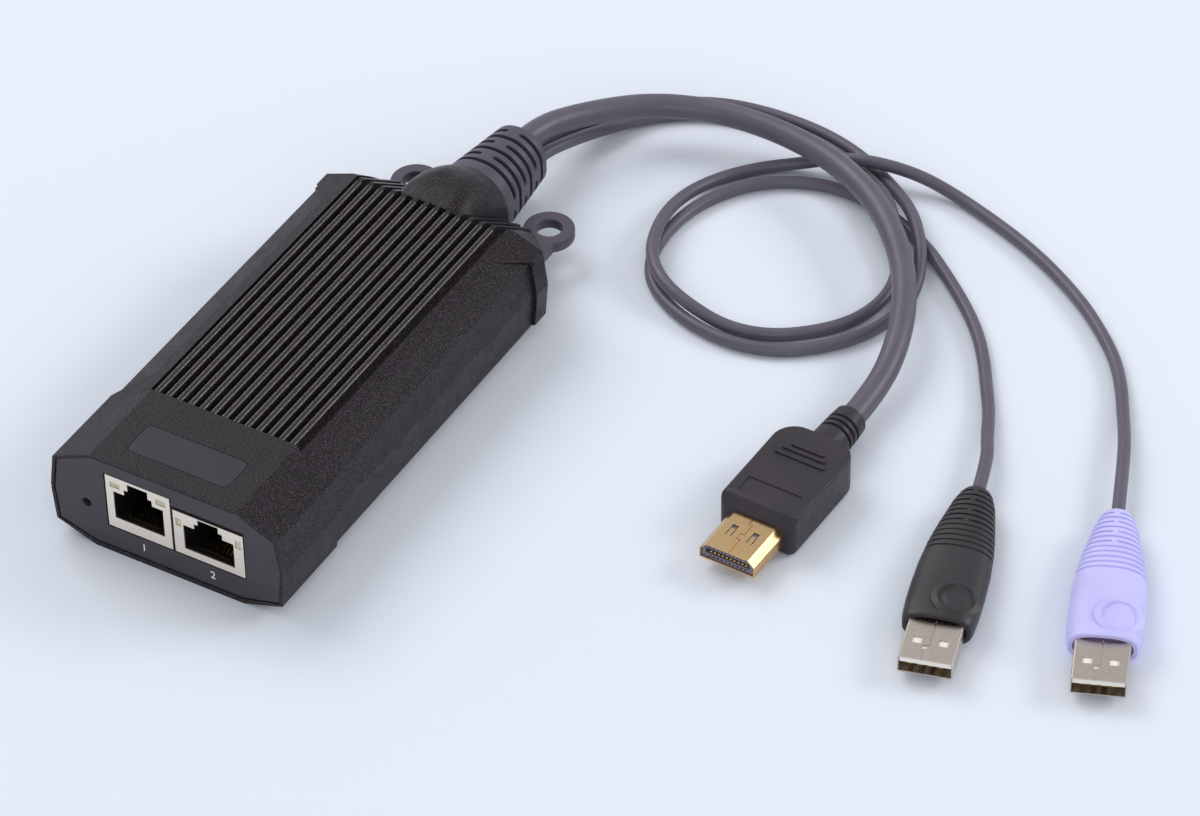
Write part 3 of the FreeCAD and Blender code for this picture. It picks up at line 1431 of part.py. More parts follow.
# the chips stand 5 and 9 thirteenths of the way from the transformers to the headers
CHIPS_FROM = f"({BEHIND_JACKS} + transformer_deep / 2)"
CHIP_FRONT = f"({CHIPS_FROM} + ({HEADER_FRONT} - {CHIPS_FROM}) * 5 / 13)"
CHIP_MIDDLE = f"({CHIPS_FROM} + ({HEADER_FRONT} - {CHIPS_FROM}) * 9 / 13)"
pieces = [make_lid(), make_tray(), make_panel(), make_badge(), make_boot()]
pieces += [make_loop("left_tie_loop", "-1"), make_loop("right_tie_loop", "1"), make_screws(), make_board()]
pieces += [
    on_board("processor", "0", CHIP_MIDDLE, "processor_wide", "processor_wide", "processor_tall"),
    on_board("thermal_pad", "0", CHIP_MIDDLE, "pad_wide", "pad_wide", "pad_tall", "processor_tall"),
    on_board("memory_chip", "-chip_x", CHIP_FRONT, "memory_wide", "memory_deep", "memory_tall"),
    on_board("network_chip", "chip_x", CHIP_FRONT, "network_wide", "network_wide", "network_tall"),
    on_board("clock_crystal", "chip_x", CHIP_MIDDLE, "crystal_wide", "crystal_deep", "crystal_tall"),
    on_board("left_transformer", "left_jack_x", BEHIND_JACKS, *TRANSFORMER),
    on_board("right_transformer", "right_jack_x - transformer_shift", BEHIND_JACKS, *TRANSFORMER),
    make_capacitors(),
    make_header("video_header", "video_header_x", "video_header_wide"),
    make_header("data_header", "data_header_x", "data_header_wide"),
    make_clamp(),
    make_clamp_screws(),
    make_switch(),
    make_button(),
]
for jack in JACKS:
    pieces += [make_shield(jack), make_jack_housing(jack), make_contacts(jack), make_light_pipes(jack)]
pieces += video_plug() + data_plug("black") + data_plug("violet")
pieces += make_cords() + make_leads()
doc.recompute()

os.makedirs("parts", exist_ok=True)
for item in doc.Objects:
    if "Invalid" in item.State or "Error" in item.State:
        raise RuntimeError(f"{item.Label} did not build: {item.State}")
for piece in pieces:
    if piece.Shape.isNull() or not piece.Shape.isValid():
        raise RuntimeError(f"{piece.Label} is not a sound solid")
    piece.Shape.exportStep(f"parts/{piece.Label}.step")
    box = piece.Shape.BoundBox
    print(f"{piece.Label}: {len(piece.Shape.Solids)} solid, {piece.Shape.Volume:.0f} mm3, "
          f"x {box.XMin:.1f} to {box.XMax:.1f}, y {box.YMin:.1f} to {box.YMax:.1f}, "
          f"z {box.ZMin:.1f} to {box.ZMax:.1f}")
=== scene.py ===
# %% [markdown]
# # A pocket console adapter, dressed for a catalogue picture
# The object is a dark faceted plastic box with two network jacks in its front face and a slotted
# grommet at its back. One thick video cord and two thin data cords leave the grommet and end in
# moulded plugs. The solids come from the CAD model; this script gives them their finishes and
# models what a catalogue picture needs on top: soft cords, moulded grips and small print.

import math

import bmesh
import bpy
from mathutils import Matrix, Vector


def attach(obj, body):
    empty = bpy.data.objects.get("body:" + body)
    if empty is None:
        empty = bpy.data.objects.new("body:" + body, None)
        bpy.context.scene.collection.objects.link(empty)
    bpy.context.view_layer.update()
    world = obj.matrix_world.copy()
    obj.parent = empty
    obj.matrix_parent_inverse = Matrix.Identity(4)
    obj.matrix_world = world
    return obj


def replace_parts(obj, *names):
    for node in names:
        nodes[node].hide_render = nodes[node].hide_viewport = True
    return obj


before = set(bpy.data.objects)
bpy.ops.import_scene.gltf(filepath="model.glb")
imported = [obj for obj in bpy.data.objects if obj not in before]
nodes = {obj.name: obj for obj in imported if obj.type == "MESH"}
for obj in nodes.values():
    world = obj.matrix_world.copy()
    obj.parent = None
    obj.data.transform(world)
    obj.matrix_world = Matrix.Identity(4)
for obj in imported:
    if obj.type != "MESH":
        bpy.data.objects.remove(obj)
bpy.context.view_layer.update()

# %% [markdown]
# ## Millimetres
# The frame is in metres, and the real object is a few centimetres long. All sizes here are
# written in millimetres, as on a drawing, and turned into metres by one factor.

# %% Units
MM = 0.001


def mm(*numbers):
    """A point or a size in millimetres, as metres."""
    return Vector([number * MM for number in numbers])


def linear(hex_text):
    """A colour as a painter writes it, turned into the linear light that a shader needs."""
    shares = [int(hex_text[i:i + 2], 16) / 255 for i in (0, 2, 4)]
    return tuple(c / 12.92 if c < 0.04045 else ((c + 0.055) / 1.055) ** 2.4 for c in shares) + (1,)


print("one millimetre is", MM, "m")

# %% [markdown]
# ## Camera
# The catalogue picture is taken with a long lens from the right front, about 41 degrees above the
# table. The camera looks at a point of the table and is rolled by less than one degree. A camera
# looks along its own -Z, so its matrix is built from its right, up and backward directions.

# %% Camera
AZIMUTH, ELEVATION, ROLL = (math.radians(angle) for angle in (30.66, 41.36, -0.96))
TARGET = mm(54.2, 30.6, 0)
DISTANCE = 1187.8 * MM
SENSOR, LENS = 36.0, 158.96

backward = Vector((math.sin(AZIMUTH) * math.cos(ELEVATION), -math.cos(AZIMUTH) * math.cos(ELEVATION),
                   math.sin(ELEVATION)))
level_right = Vector((math.cos(AZIMUTH), math.sin(AZIMUTH), 0))
level_up = backward.cross(level_right)
right = level_right * math.cos(ROLL) + level_up * math.sin(ROLL)
up = level_up * math.cos(ROLL) - level_right * math.sin(ROLL)
camera_data = bpy.data.cameras.new("camera")
camera_data.sensor_width = SENSOR
camera_data.sensor_fit = "HORIZONTAL"
camera_data.lens = LENS
camera = bpy.data.objects.new("camera", camera_data)
turned = Matrix((right, up, backward)).transposed().to_4x4()
camera.matrix_world = Matrix.Translation(TARGET + backward * DISTANCE) @ turned
bpy.context.scene.collection.objects.link(camera)
bpy.context.scene.camera = camera
print("camera at", tuple(round(c, 3) for c in camera.location))

# %% [markdown]
# ## Table and light
# The ground is a pale blue-grey sheet without any edge in view. The main light is a large soft
# lamp high on the left, so that shadows are soft and fall to the right. A smaller lamp behind on
# the right lights the far facets, a weak one in front lights the jacks, and a pale sky fills the
# rest, so that each face of the faceted lid has a tone of its own.

# %% Table
TABLE_WIDE = 6
TABLE_COLOUR = "e5eaf3"

bpy.context.scene.view_settings.view_transform = "Standard"
bpy.ops.object.select_all(action="DESELECT")
bpy.ops.mesh.primitive_plane_add(size=TABLE_WIDE, location=(0, 0, 0))
table = bpy.context.object
table.name = "table"
pale = bpy.data.materials.new("pale_table")
pale.use_nodes = True
sheet = pale.node_tree.nodes["Principled BSDF"].inputs
sheet["Base Color"].default_value = linear(TABLE_COLOUR)
sheet["Roughness"].default_value = 0.9
sheet["Specular IOR Level"].default_value = 0.1
table.data.materials.append(pale)
print("a table", TABLE_WIDE, "m wide")

# %% Sky and lamps
SKY_COLOUR, SKY_STRENGTH = "f2f5fa", 0.64
# place in metres, width and height in metres, power in watts
LAMPS = {
    "key": ((-1.25, 0.4, 1.45), (1.2, 1.2), 15.5),
    "right_back": ((1.15, 0.95, 0.85), (0.8, 0.5), 8),
    "front": ((0.75, -1.3, 0.8), (1.0, 0.5), 4),
}

world = bpy.data.worlds.new("studio")
world.use_nodes = True
sky = world.node_tree.nodes["Background"].inputs
sky["Color"].default_value = linear(SKY_COLOUR)
sky["Strength"].default_value = SKY_STRENGTH
bpy.context.scene.world = world


def soft_lamp(name, place, size, power):
    """A rectangular soft box that faces the point that the camera looks at."""
    data = bpy.data.lights.new(name, "AREA")
    data.shape = "RECTANGLE"
    data.size, data.size_y = size
    data.energy = power
    lamp = bpy.data.objects.new(name, data)
    lamp.location = place
    lamp.rotation_euler = (Vector(place) - TARGET).to_track_quat("Z", "Y").to_euler()
    bpy.context.scene.collection.objects.link(lamp)


for name, (place, size, power) in LAMPS.items():
    soft_lamp(name, place, size, power)
print(len(LAMPS), "lamps and a sky")

# %% [markdown]
# ## Finishes: moulded plastic
# Moulded plastic takes its grain from the steel of its mould: a fine sparkle on the housing, a
# smoother skin on soft parts. A picture of plastic could be wrapped round each piece, but noise
# needs no unwrapping and is as fine on a large piece as on a small one. A small noise gives the
# grain as a bump, and larger ones change the colour and the gloss a little, as wear does.

# %% Noise, colour and grain
CLOUD_LOW, CLOUD_HIGH = 0.3, 0.7

finishes = {}


def new_finish(name):
    """A material with its own node tree; gives the tree, the shader and the object's coordinates."""
    material = bpy.data.materials.new(name)
    material.use_nodes = True
    tree = material.node_tree
    finishes[name] = material
    place = tree.nodes.new("ShaderNodeTexCoord")
    return tree, tree.nodes["Principled BSDF"], place.outputs["Object"]


def noise(tree, place, size, detail=2, stretch=(1, 1, 1)):
    """Cloudy noise whose lumps are about size millimetres across."""
    mapping = tree.nodes.new("ShaderNodeMapping")
    mapping.inputs["Scale"].default_value = [axis / (size * MM) for axis in stretch]
    tree.links.new(place, mapping.inputs["Vector"])
    cloud = tree.nodes.new("ShaderNodeTexNoise")
    cloud.inputs["Scale"].default_value = 1
    cloud.inputs["Detail"].default_value = detail
    tree.links.new(mapping.outputs["Vector"], cloud.inputs["Vector"])
    return cloud.outputs["Fac"]


def spread(tree, source, low, high):
    """Noise, which stays near its middle, spread to the range from low to high."""
    ranged = tree.nodes.new("ShaderNodeMapRange")
    ranged.inputs["From Min"].default_value = CLOUD_LOW
    ranged.inputs["From Max"].default_value = CLOUD_HIGH
    ranged.inputs["To Min"].default_value = low
    ranged.inputs["To Max"].default_value = high
    tree.links.new(source, ranged.inputs["Value"])
    return ranged.outputs["Result"]


def blend(tree, share, first, second):
    """A mix of two colours by a share; the first may be another node's colour.

    A mix node's colours are its inputs 6 and 7, and their mix is its output 2.
    """
    mixed = tree.nodes.new("ShaderNodeMix")
    mixed.data_type = "RGBA"
    tree.links.new(share, mixed.inputs["Factor"])
    if isinstance(first, tuple):
        mixed.inputs[6].default_value = first
    else:
        tree.links.new(first, mixed.inputs[6])
    mixed.inputs[7].default_value = second
    return mixed.outputs[2]


def grain_bump(tree, shader, height, depth):
    """Small relief, depth millimetres deep where height goes from 0 to 1."""
    relief = tree.nodes.new("ShaderNodeBump")
    relief.inputs["Strength"].default_value = 1
    relief.inputs["Distance"].default_value = depth * MM
    tree.links.new(height, relief.inputs["Height"])
    tree.links.new(relief.outputs["Normal"], shader.inputs["Normal"])


print("tools for finishes ready")

# %% Plastics
COLOUR_CLOUD, GLOSS_CLOUD = 9, 3.5
FLECKS_FROM, FLECKS_TO = -1.2, 1.4


def moulded(name, dark, light, grain, depth, gloss, shine=0.5, fleck=None):
    """Plastic between two close colours, with grain of a size and depth, a gloss range and flecks."""
    tree, shader, place = new_finish(name)
    tone = spread(tree, noise(tree, place, COLOUR_CLOUD), 0, 1)
    colour = blend(tree, tone, linear(dark), linear(light))
    if fleck:
        flecks = spread(tree, noise(tree, place, grain), FLECKS_FROM, FLECKS_TO)
        colour = blend(tree, flecks, colour, linear(fleck))
    tree.links.new(colour, shader.inputs["Base Color"])
    tree.links.new(spread(tree, noise(tree, place, GLOSS_CLOUD, 3), *gloss), shader.inputs["Roughness"])
    grain_bump(tree, shader, noise(tree, place, grain, 1), depth)
    shader.inputs["Specular IOR Level"].default_value = shine


moulded("shell_plastic", "151213", "1b1719", 0.3, 0.07, (0.34, 0.46), 0.2, fleck="453d44")
moulded("panel_plastic", "383338", "3e383e", 0.5, 0.006, (0.36, 0.44), 0.4)
moulded("badge_plastic", "2b272d", "322d33", 0.3, 0.012, (0.3, 0.38), 0.35)
moulded("soft_grey", "494450", "504a57", 0.3, 0.02, (0.42, 0.54))
moulded("cord_grey", "58535f", "5f5a67", 0.6, 0.02, (0.38, 0.46))
moulded("plug_black", "262327", "2d2a2e", 0.24, 0.04, (0.4, 0.52))
moulded("plug_charcoal", "2c262c", "342d34", 0.24, 0.03, (0.4, 0.52), 0.4)
moulded("plug_violet", "c4bff6", "cdc9fc", 0.24, 0.02, (0.42, 0.52))
moulded("insert_black", "121114", "18171a", 0.3, 0.01, (0.35, 0.45))
moulded("insert_white", "efe9df", "f6f1e8", 0.3, 0.004, (0.3, 0.4))
moulded("insert_nose", "6a6270", "756d7b", 0.3, 0.004, (0.35, 0.45))
moulded("print_white", "e9e6ee", "f3f1f7", 0.3, 0.002, (0.5, 0.6))
moulded("button_plastic", "2a292c", "302f33", 0.3, 0.01, (0.4, 0.5))
moulded("chip_black", "222224", "28282b", 0.2, 0.01, (0.45, 0.55))
moulded("pad_grey", "8c93a0", "98a0ad", 0.4, 0.03, (0.75, 0.85))
moulded("board_laminate", "123826", "174430", 0.8, 0.01, (0.35, 0.5))
print("plastics:", ", ".join(finishes))

# %% [markdown]
# ## Painted highlights on the rib edges
# The sharp edges of the ribs catch the light as thin bright lines, and these highlights are painted
# into the colour. A line each side of every rib comes from the object's own X: folded to one rib's
# pitch, it gives the distance from the rib's middle, and only what is near half a rib's width gets
# the painted highlight. Y and Z keep the lines to the level stretch of the ribs, and a noise makes the
# painted highlight stronger in some places and weaker in others.

# %% Rib edges
RIB_PITCH, RIB_HALF, EDGE_HALF = 2.92, 0.56, 0.11
RIBS_FROM, RIBS_TO = -37.5, 45.5
RIB_TOP, EDGE_DEEP = 26.4, 0.25
# size of the noise along the rib edges, and the least and the most strength of the painted highlight
HIGHLIGHT_SIZE, HIGHLIGHT_LEAST, HIGHLIGHT_MOST = 0.35, 0.25, 0.9


def calculate(tree, operation, *inputs):
    """One step of arithmetic on numbers or on other nodes' results."""
    step = tree.nodes.new("ShaderNodeMath")
    step.operation = operation
    for socket, value in zip(step.inputs, inputs):
        if isinstance(value, (int, float)):
            socket.default_value = value
        else:
            tree.links.new(value, socket)
    return step.outputs[0]


def paint_rib_highlights(name, light):
    """Paint highlights on the rib edges in the finish of this name, which is made above."""
    tree = finishes[name].node_tree
    shader = tree.nodes["Principled BSDF"]
    place = tree.nodes["Texture Coordinate"].outputs["Object"]
    split = tree.nodes.new("ShaderNodeSeparateXYZ")
    tree.links.new(place, split.inputs[0])
    x, y, z = split.outputs
    from_middle = calculate(tree, "PINGPONG", x, RIB_PITCH / 2 * MM)
    off_edge = calculate(tree, "ABSOLUTE", calculate(tree, "SUBTRACT", from_middle, RIB_HALF * MM))
    edge = calculate(tree, "LESS_THAN", off_edge, EDGE_HALF * MM)
    along = calculate(tree, "COMPARE", y, (RIBS_FROM + RIBS_TO) / 2 * MM, (RIBS_TO - RIBS_FROM) / 2 * MM)
    level = calculate(tree, "COMPARE", z, RIB_TOP * MM, EDGE_DEEP * MM)
    line = calculate(tree, "MULTIPLY", calculate(tree, "MULTIPLY", edge, along), level)
    # the painted highlight on the rib edges, made stronger and weaker by noise
    highlight_strength = spread(tree, noise(tree, place, HIGHLIGHT_SIZE), HIGHLIGHT_LEAST, HIGHLIGHT_MOST)
    bright = calculate(tree, "MULTIPLY", line, highlight_strength)
    colour = shader.inputs["Base Color"].links[0].from_socket
    tree.links.new(blend(tree, bright, colour, linear(light)), shader.inputs["Base Color"])


# a39c98 is the light grey of the painted highlight on the rib edges
paint_rib_highlights("shell_plastic", "a39c98")
# the bright rib edges are a painted highlight
print("rib edges polished")

# %% [markdown]
# ## Finishes: metal, gold and the clear lamp windows
# Stamped metal shows the fine lines of the rolling mill. The same noise, drawn out in one
# direction, makes those lines, and they change the gloss more than the height.

# %% Metals
ROLLED = 0.12


def stamped(name, dark, light, gloss, stretch=(0.06, 1, 1), depth=0.004):
    """Sheet metal whose rolling lines run along the axis with the smallest stretch."""
    tree, shader, place = new_finish(name)
    lines = noise(tree, place, ROLLED, 3, stretch)
    colour = blend(tree, spread(tree, lines, 0, 1), linear(dark), linear(light))
    tree.links.new(colour, shader.inputs["Base Color"])
    tree.links.new(spread(tree, lines, *gloss), shader.inputs["Roughness"])
    grain_bump(tree, shader, lines, depth)
    shader.inputs["Metallic"].default_value = 1


stamped("shield_metal", "f2e6d6", "fbf1e4", (0.3, 0.4), (0.5, 1, 1), 0.0006)
stamped("plug_nickel", "c2b6ab", "dacec2", (0.24, 0.36), (1, 0.6, 1), 0.0012)
stamped("plug_gold", "cfa674", "e6c797", (0.22, 0.34), (1, 0.4, 1), 0.001)
stamped("contact_gold", "d2a858", "e6c176", (0.14, 0.22))
stamped("can_metal", "a9abb0", "bcbec3", (0.25, 0.35))
stamped("screw_steel", "8a8b90", "a3a4a9", (0.25, 0.38))
print("six metals")


# %% Clear lamp windows
def clear_window(name, dark, light, cloud, ripple, depth):
    """Half-clear plastic with faint clouds and ripples, sizes in millimetres."""
    tree, shader, place = new_finish(name)
    clouds = spread(tree, noise(tree, place, cloud), 0, 1)
    tree.links.new(blend(tree, clouds, linear(dark), linear(light)), shader.inputs["Base Color"])
    shader.inputs["Roughness"].default_value = 0.22
    shader.inputs["Transmission Weight"].default_value = 0.35
    grain_bump(tree, shader, noise(tree, place, ripple), depth)


clear_window("lamp_clear", "e6dcb4", "f2ecd2", 1.5, 0.8, 0.01)
print(len(finishes), "finishes")

# %% [markdown]
# ## Dressing the CAD pieces
# Each CAD piece keeps its shape and gets its finish in its own material slot. Moulded edges are
# never sharp, so the larger mouldings get a fine bevel: their triangles are joined at shared
# corners first, and only edges that turn by more than 25 degrees are rounded. The list names
# every piece of the CAD model, also those that are modelled anew further on.

# %% Which piece has which finish
dress = {
    "shell_plastic": ["top_cover", "bottom_shell"],
    "panel_plastic": ["front_panel"],
    "badge_plastic": ["blank_badge"],
    "soft_grey": ["cable_boot", "left_tie_loop", "right_tie_loop"],
    "shield_metal": ["left_jack_shield", "right_jack_shield"],
    "insert_black": ["left_jack_housing", "right_jack_housing", "video_plug_insulator",
                     "reset_switch_body", "video_header", "data_header", "cord_clamp"],
    "contact_gold": ["left_jack_contacts", "right_jack_contacts", "video_plug_contacts",
                     "black_plug_contacts", "violet_plug_contacts"],
    "lamp_clear": ["left_light_pipes", "right_light_pipes"],
    "button_plastic": ["reset_button"],
    "plug_charcoal": ["video_plug_overmold"],
    "plug_black": ["black_plug_overmold"],
    "plug_violet": ["violet_plug_overmold"],
    "plug_gold": ["video_plug_shell"],
    "plug_nickel": ["black_plug_shell", "violet_plug_shell"],
    "insert_white": ["black_plug_insulator", "violet_plug_insulator"],
    "board_laminate": ["main_board"],
    "chip_black": ["processor", "memory_chip", "network_chip", "left_transformer", "right_transformer"],
    "pad_grey": ["thermal_pad"],
    "can_metal": ["capacitors", "clock_crystal"],
    "screw_steel": ["case_screws", "clamp_screws"],
    "cord_grey": ["video_lead", "black_lead", "violet_lead", "video_cord", "data_cord_black",
                  "data_cord_violet"],
}
for finish, names in dress.items():
    for name in names:
        for slot in nodes[name].material_slots:
            slot.material = finishes[finish]
missing = set(nodes) - {name for names in dress.values() for name in names}
print("pieces without a finish:", missing)


# %% Fine bevels on the mouldings
JOIN_WITHIN = 0.01
SHARP = math.radians(25)
SOFT_EDGES = {"top_cover": 0.18, "bottom_shell": 0.18, "front_panel": 0.12, "blank_badge": 0.12,
              "left_tie_loop": 0.35, "right_tie_loop": 0.35, "cable_boot": 0.2}


def soften(piece, width):
    """Join a CAD piece's triangles and round its sharp edges by width millimetres."""
    join = piece.modifiers.new("join", "WELD")
    join.merge_threshold = JOIN_WITHIN * MM
    edge = piece.modifiers.new("edge", "BEVEL")
    edge.width = width * MM
    edge.segments = 2
    edge.limit_method = "ANGLE"
    edge.angle_limit = SHARP
    edge.harden_normals = True


for name, width in SOFT_EDGES.items():
    soften(nodes[name], width)
print(len(SOFT_EDGES), "mouldings softened")

# %% [markdown]
# ## Tools for modelling by hand
# The plugs are shaped as a modeller would do it: a primitive, then edit mode, then extrude,
# inset, bevel and scale, and modifiers that are applied at once. A plug is modelled lying along
# -Y, with its cord's end at the origin, and is turned to where it lies on the table at the end.

# %% Helpers: starting, picking and moving
def clear():
    """Deselect everything, so that an operator acts on the new primitive alone."""
    bpy.ops.object.select_all(action="DESELECT")


def only(piece):
    """Select one piece and make it the active one."""
    clear()
    piece.select_set(True)
    bpy.context.view_layer.objects.active = piece


def edit():
    """Open the active piece in edit mode."""
    bpy.ops.object.mode_set(mode="EDIT")


def close():
    """Leave edit mode."""
    bpy.ops.object.mode_set(mode="OBJECT")


def pick_all():
    """Select the whole mesh that is open in edit mode."""
    bpy.ops.mesh.select_all(action="SELECT")


def start(name):
    """Name the new primitive, put its origin at the world's and open it in edit mode."""
    piece = bpy.context.object
    piece.name = piece.data.name = name
    bpy.ops.object.transform_apply(location=True, rotation=True, scale=True)
    edit()
    return piece


def start_block(name, low, high):
    """A block between two corners in millimetres, open in edit mode."""
    clear()
    low, high = Vector(low), Vector(high)
    bpy.ops.mesh.primitive_cube_add(size=MM, location=(low + high) / 2 * MM, scale=high - low)
    return start(name)


def start_face(name, place, radius, corners):
    """A round face that looks along the plug, at a place in millimetres, open in edit mode."""
    clear()
    bpy.ops.mesh.primitive_circle_add(vertices=corners, radius=radius * MM, fill_type="NGON",
                                      location=mm(*place), rotation=(math.pi / 2, 0, 0))
    piece = start(name)
    pick_all()
    return piece


def pick(piece, kind, test):
    """Select the corners, edges or faces that pass a test, and no others.

    The test gets an item's middle in millimetres, and its normal, or an edge's direction.
    """
    bpy.ops.mesh.select_mode(type=kind)
    bpy.ops.mesh.select_all(action="DESELECT")
    mesh = bmesh.from_edit_mesh(piece.data)
    mesh.normal_update()
    for item in {"VERT": mesh.verts, "EDGE": mesh.edges, "FACE": mesh.faces}[kind]:
        corners = [item] if kind == "VERT" else list(item.verts)
        middle = sum((corner.co for corner in corners), Vector()) / len(corners) / MM
        across = item.normal if kind == "FACE" else (corners[-1].co - corners[0].co).normalized()
        if test(middle, across):
            item.select_set(True)
    mesh.select_flush_mode()
    bmesh.update_edit_mesh(piece.data)


def push(x=0, y=0, z=0):
    """Extrude the selection by millimetres."""
    bpy.ops.mesh.extrude_region_move(TRANSFORM_OT_translate={"value": mm(x, y, z)})


def shift(x=0, y=0, z=0):
    """Move the selection by millimetres."""
    bpy.ops.transform.translate(value=mm(x, y, z))


def scale(x=1, y=1, z=1):
    """Scale the selection about its own middle."""
    bpy.ops.transform.resize(value=(x, y, z))


def inset(width, rise=0):
    """Draw the selected faces in by a width and raise or sink them."""
    bpy.ops.mesh.inset(thickness=width * MM, depth=rise * MM)


def bevel(width, steps):
    """Round the selected edges by a width in some steps."""
    bpy.ops.mesh.bevel(offset=width * MM, offset_type="OFFSET", segments=steps, affect="EDGES",
                       clamp_overlap=True)


print("tools for shaping ready")


# %% Helpers: modifiers and the last steps
def change(piece, kind, **settings):
    """Add a modifier with its settings and apply it."""
    only(piece)
    modifier = piece.modifiers.new(kind.lower(), kind)
    for word, setting in settings.items():
        setattr(modifier, word, setting)
    bpy.ops.object.modifier_apply(modifier=modifier.name)


def carve(piece, tool, operation="DIFFERENCE"):
    """Cut a tool out of a piece, or fuse it on, and throw the tool away."""
    change(piece, "BOOLEAN", object=tool, operation=operation, solver="EXACT")
    bpy.data.objects.remove(tool)


def ease(piece, width, turn):
    """Round the edges that turn by more than some degrees."""
    change(piece, "BEVEL", width=width * MM, segments=2, limit_method="ANGLE",
           angle_limit=math.radians(turn))


def upright(middle, along):
    """A test for pick: an edge that stands upright."""
    return abs(along.z) > 0.9


def tool_block(low, high, corner=0):
    """A cutting tool: a block, with its upright edges rounded if a corner radius is given."""
    tool = start_block("tool", low, high)
    if corner:
        pick(tool, "EDGE", upright)
        bevel(corner, 4)
    close()
    return tool


# corners closer than CRUMB millimetres are one corner, and an edge sharper than CREASE stays sharp
CRUMB = 0.002
CREASE = math.radians(35)


def finish_piece(piece, finish, lie=(0, 0, 0)):
    """Clean the mesh, lay it in place, smooth it, and give it its finish, body and slot.

    lie is the x and y of its cord's end on the table, and the degrees that it is turned by.
    """
    only(piece)
    edit()
    bpy.ops.mesh.select_mode(type="VERT")
    pick_all()
    bpy.ops.mesh.remove_doubles(threshold=CRUMB * MM)
    bpy.ops.mesh.dissolve_degenerate(threshold=CRUMB * MM)
    bpy.ops.mesh.normals_make_consistent(inside=False)
    close()
    x, y, turn = lie
    piece.rotation_euler = (0, 0, math.radians(turn))
    piece.location = mm(x, y, 0)
    bpy.ops.object.transform_apply(location=True, rotation=True, scale=True)
    bpy.ops.object.shade_smooth_by_angle(angle=CREASE)
    change(piece, "WEIGHTED_NORMAL", keep_sharp=True)
    piece.data.materials.clear()
    piece.data.materials.append(finishes[finish])
    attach(piece, "adapter")
    return piece


def groove(stations, at, wide, slope, deep, spare):
    """Stations with a groove among them, and with no older one inside it or within spare of it."""
    end = at + wide
    kept = [station for station in stations if not at - spare < station[0] < end + spare]
    return kept + [(at, 0), (at + slope, deep), (end - slope, deep), (end, 0)]


print("tools for finishing ready")

# %% [markdown]
# ## Data plugs: the grip
# The grip is a soft moulding that swells from the cord towards the metal shell. Its rear half has
# fine grooves that let it bend; every other one of the first eight stops at a small bridge on
# top and below. A lathe can't make it, because it is wider than tall, so one round face is drawn
# out station by station, and scaled on the way. A groove is four stations close together. The
# mark on its front half is a round face too, raised and sunk by inset after inset.

# %% Sizes of the data plugs
DATA_LIE = {"black": (142.4, 44.1, 15.5), "violet": (171.2, 54.6, 21.5)}
GRIP_START = {"black": 2.0, "violet": 4.4}
DATA_AXIS, DATA_NOSE, DATA_TIP = 4.15, 46.0, 58.0
# share of the grip's length from the cord to the nose, half width, half height, squareness
GRIP = [
    (0, 2.5, 2.3, 2), (0.012, 3.2, 2.9, 2), (0.035, 3.8, 3.2, 2), (0.1, 4.8, 3.5, 2),
    (0.19, 5.6, 3.75, 2), (0.27, 6.3, 3.9, 2.1), (0.35, 6.95, 4.0, 2.1), (0.43, 7.45, 4.05, 2.2),
    (0.58, 8.05, 4.1, 2.3), (0.74, 8.25, 4.1, 2.4), (0.86, 8.2, 4.1, 2.6), (0.96, 7.9, 4.1, 2.9),
    (0.99, 7.6, 4.0, 3), (1, 7.3, 3.75, 3),
]
# first place, pitch and spare room are shares of that length too, a groove's own sizes millimetres
GROOVES, DEEP_GROOVES, BRIDGED_GROOVES = 12, 7, range(0, 8, 2)
GROOVE_FIRST, GROOVE_PITCH, GROOVE_SPARE = 0.045, 0.0395, 0.002
GROOVE_WIDE, GROOVE_SLOPE, DEEP_GROOVE, SHALLOW_GROOVE = 0.6, 0.12, 0.7, 0.36
BRIDGE_HALF, BRIDGE_SPARE = 0.75, 0.05
NOSE_LIP, NOSE_DEEP, GRIP_EDGE = 0.75, 1.2, 0.09

# %% Sizes of the round mark
MARK_AT, MARK_RADIUS, MARK_FOOT = (2.8, -39.6), 5.5, 0.45
MARK_TILT, MARK_RISE = math.radians(9), 3.25
# width of each inset, and how far it rises
MARK_STEPS = [
    (0.5, 0.24), (0.45, 0.3), (0.25, 0.1), (0.2, 0.02), (0.25, -0.24), (0.3, -0.46),
    (0.25, -0.08), (0.25, 0.04), (0.4, 0.22), (0.5, 0.16), (0.7, 0.1), (0.7, 0.05),
]
for colour, begin in GRIP_START.items():
    print(colour, "grip", DATA_NOSE - begin, "mm long")


# %% The outline of a grip
def grip_size(share):
    """Half width, half height and squareness of the grip at a share of its length."""
    for (s0, *first), (s1, *second) in zip(GRIP, GRIP[1:]):
        if share <= s1:
            part = (share - s0) / (s1 - s0)
            return [a + (b - a) * part for a, b in zip(first, second)]
    return GRIP[-1][1:]


def grip_stations(length):
    """Shares of the grip's length where its section changes, each with its groove's depth."""
    stations = [(row[0], 0) for row in GRIP]
    for index in range(GROOVES):
        deep = DEEP_GROOVE if index < DEEP_GROOVES else SHALLOW_GROOVE
        stations = groove(stations, GROOVE_FIRST + GROOVE_PITCH * index, GROOVE_WIDE / length,
                          GROOVE_SLOPE / length, deep, GROOVE_SPARE)
    return sorted(stations)


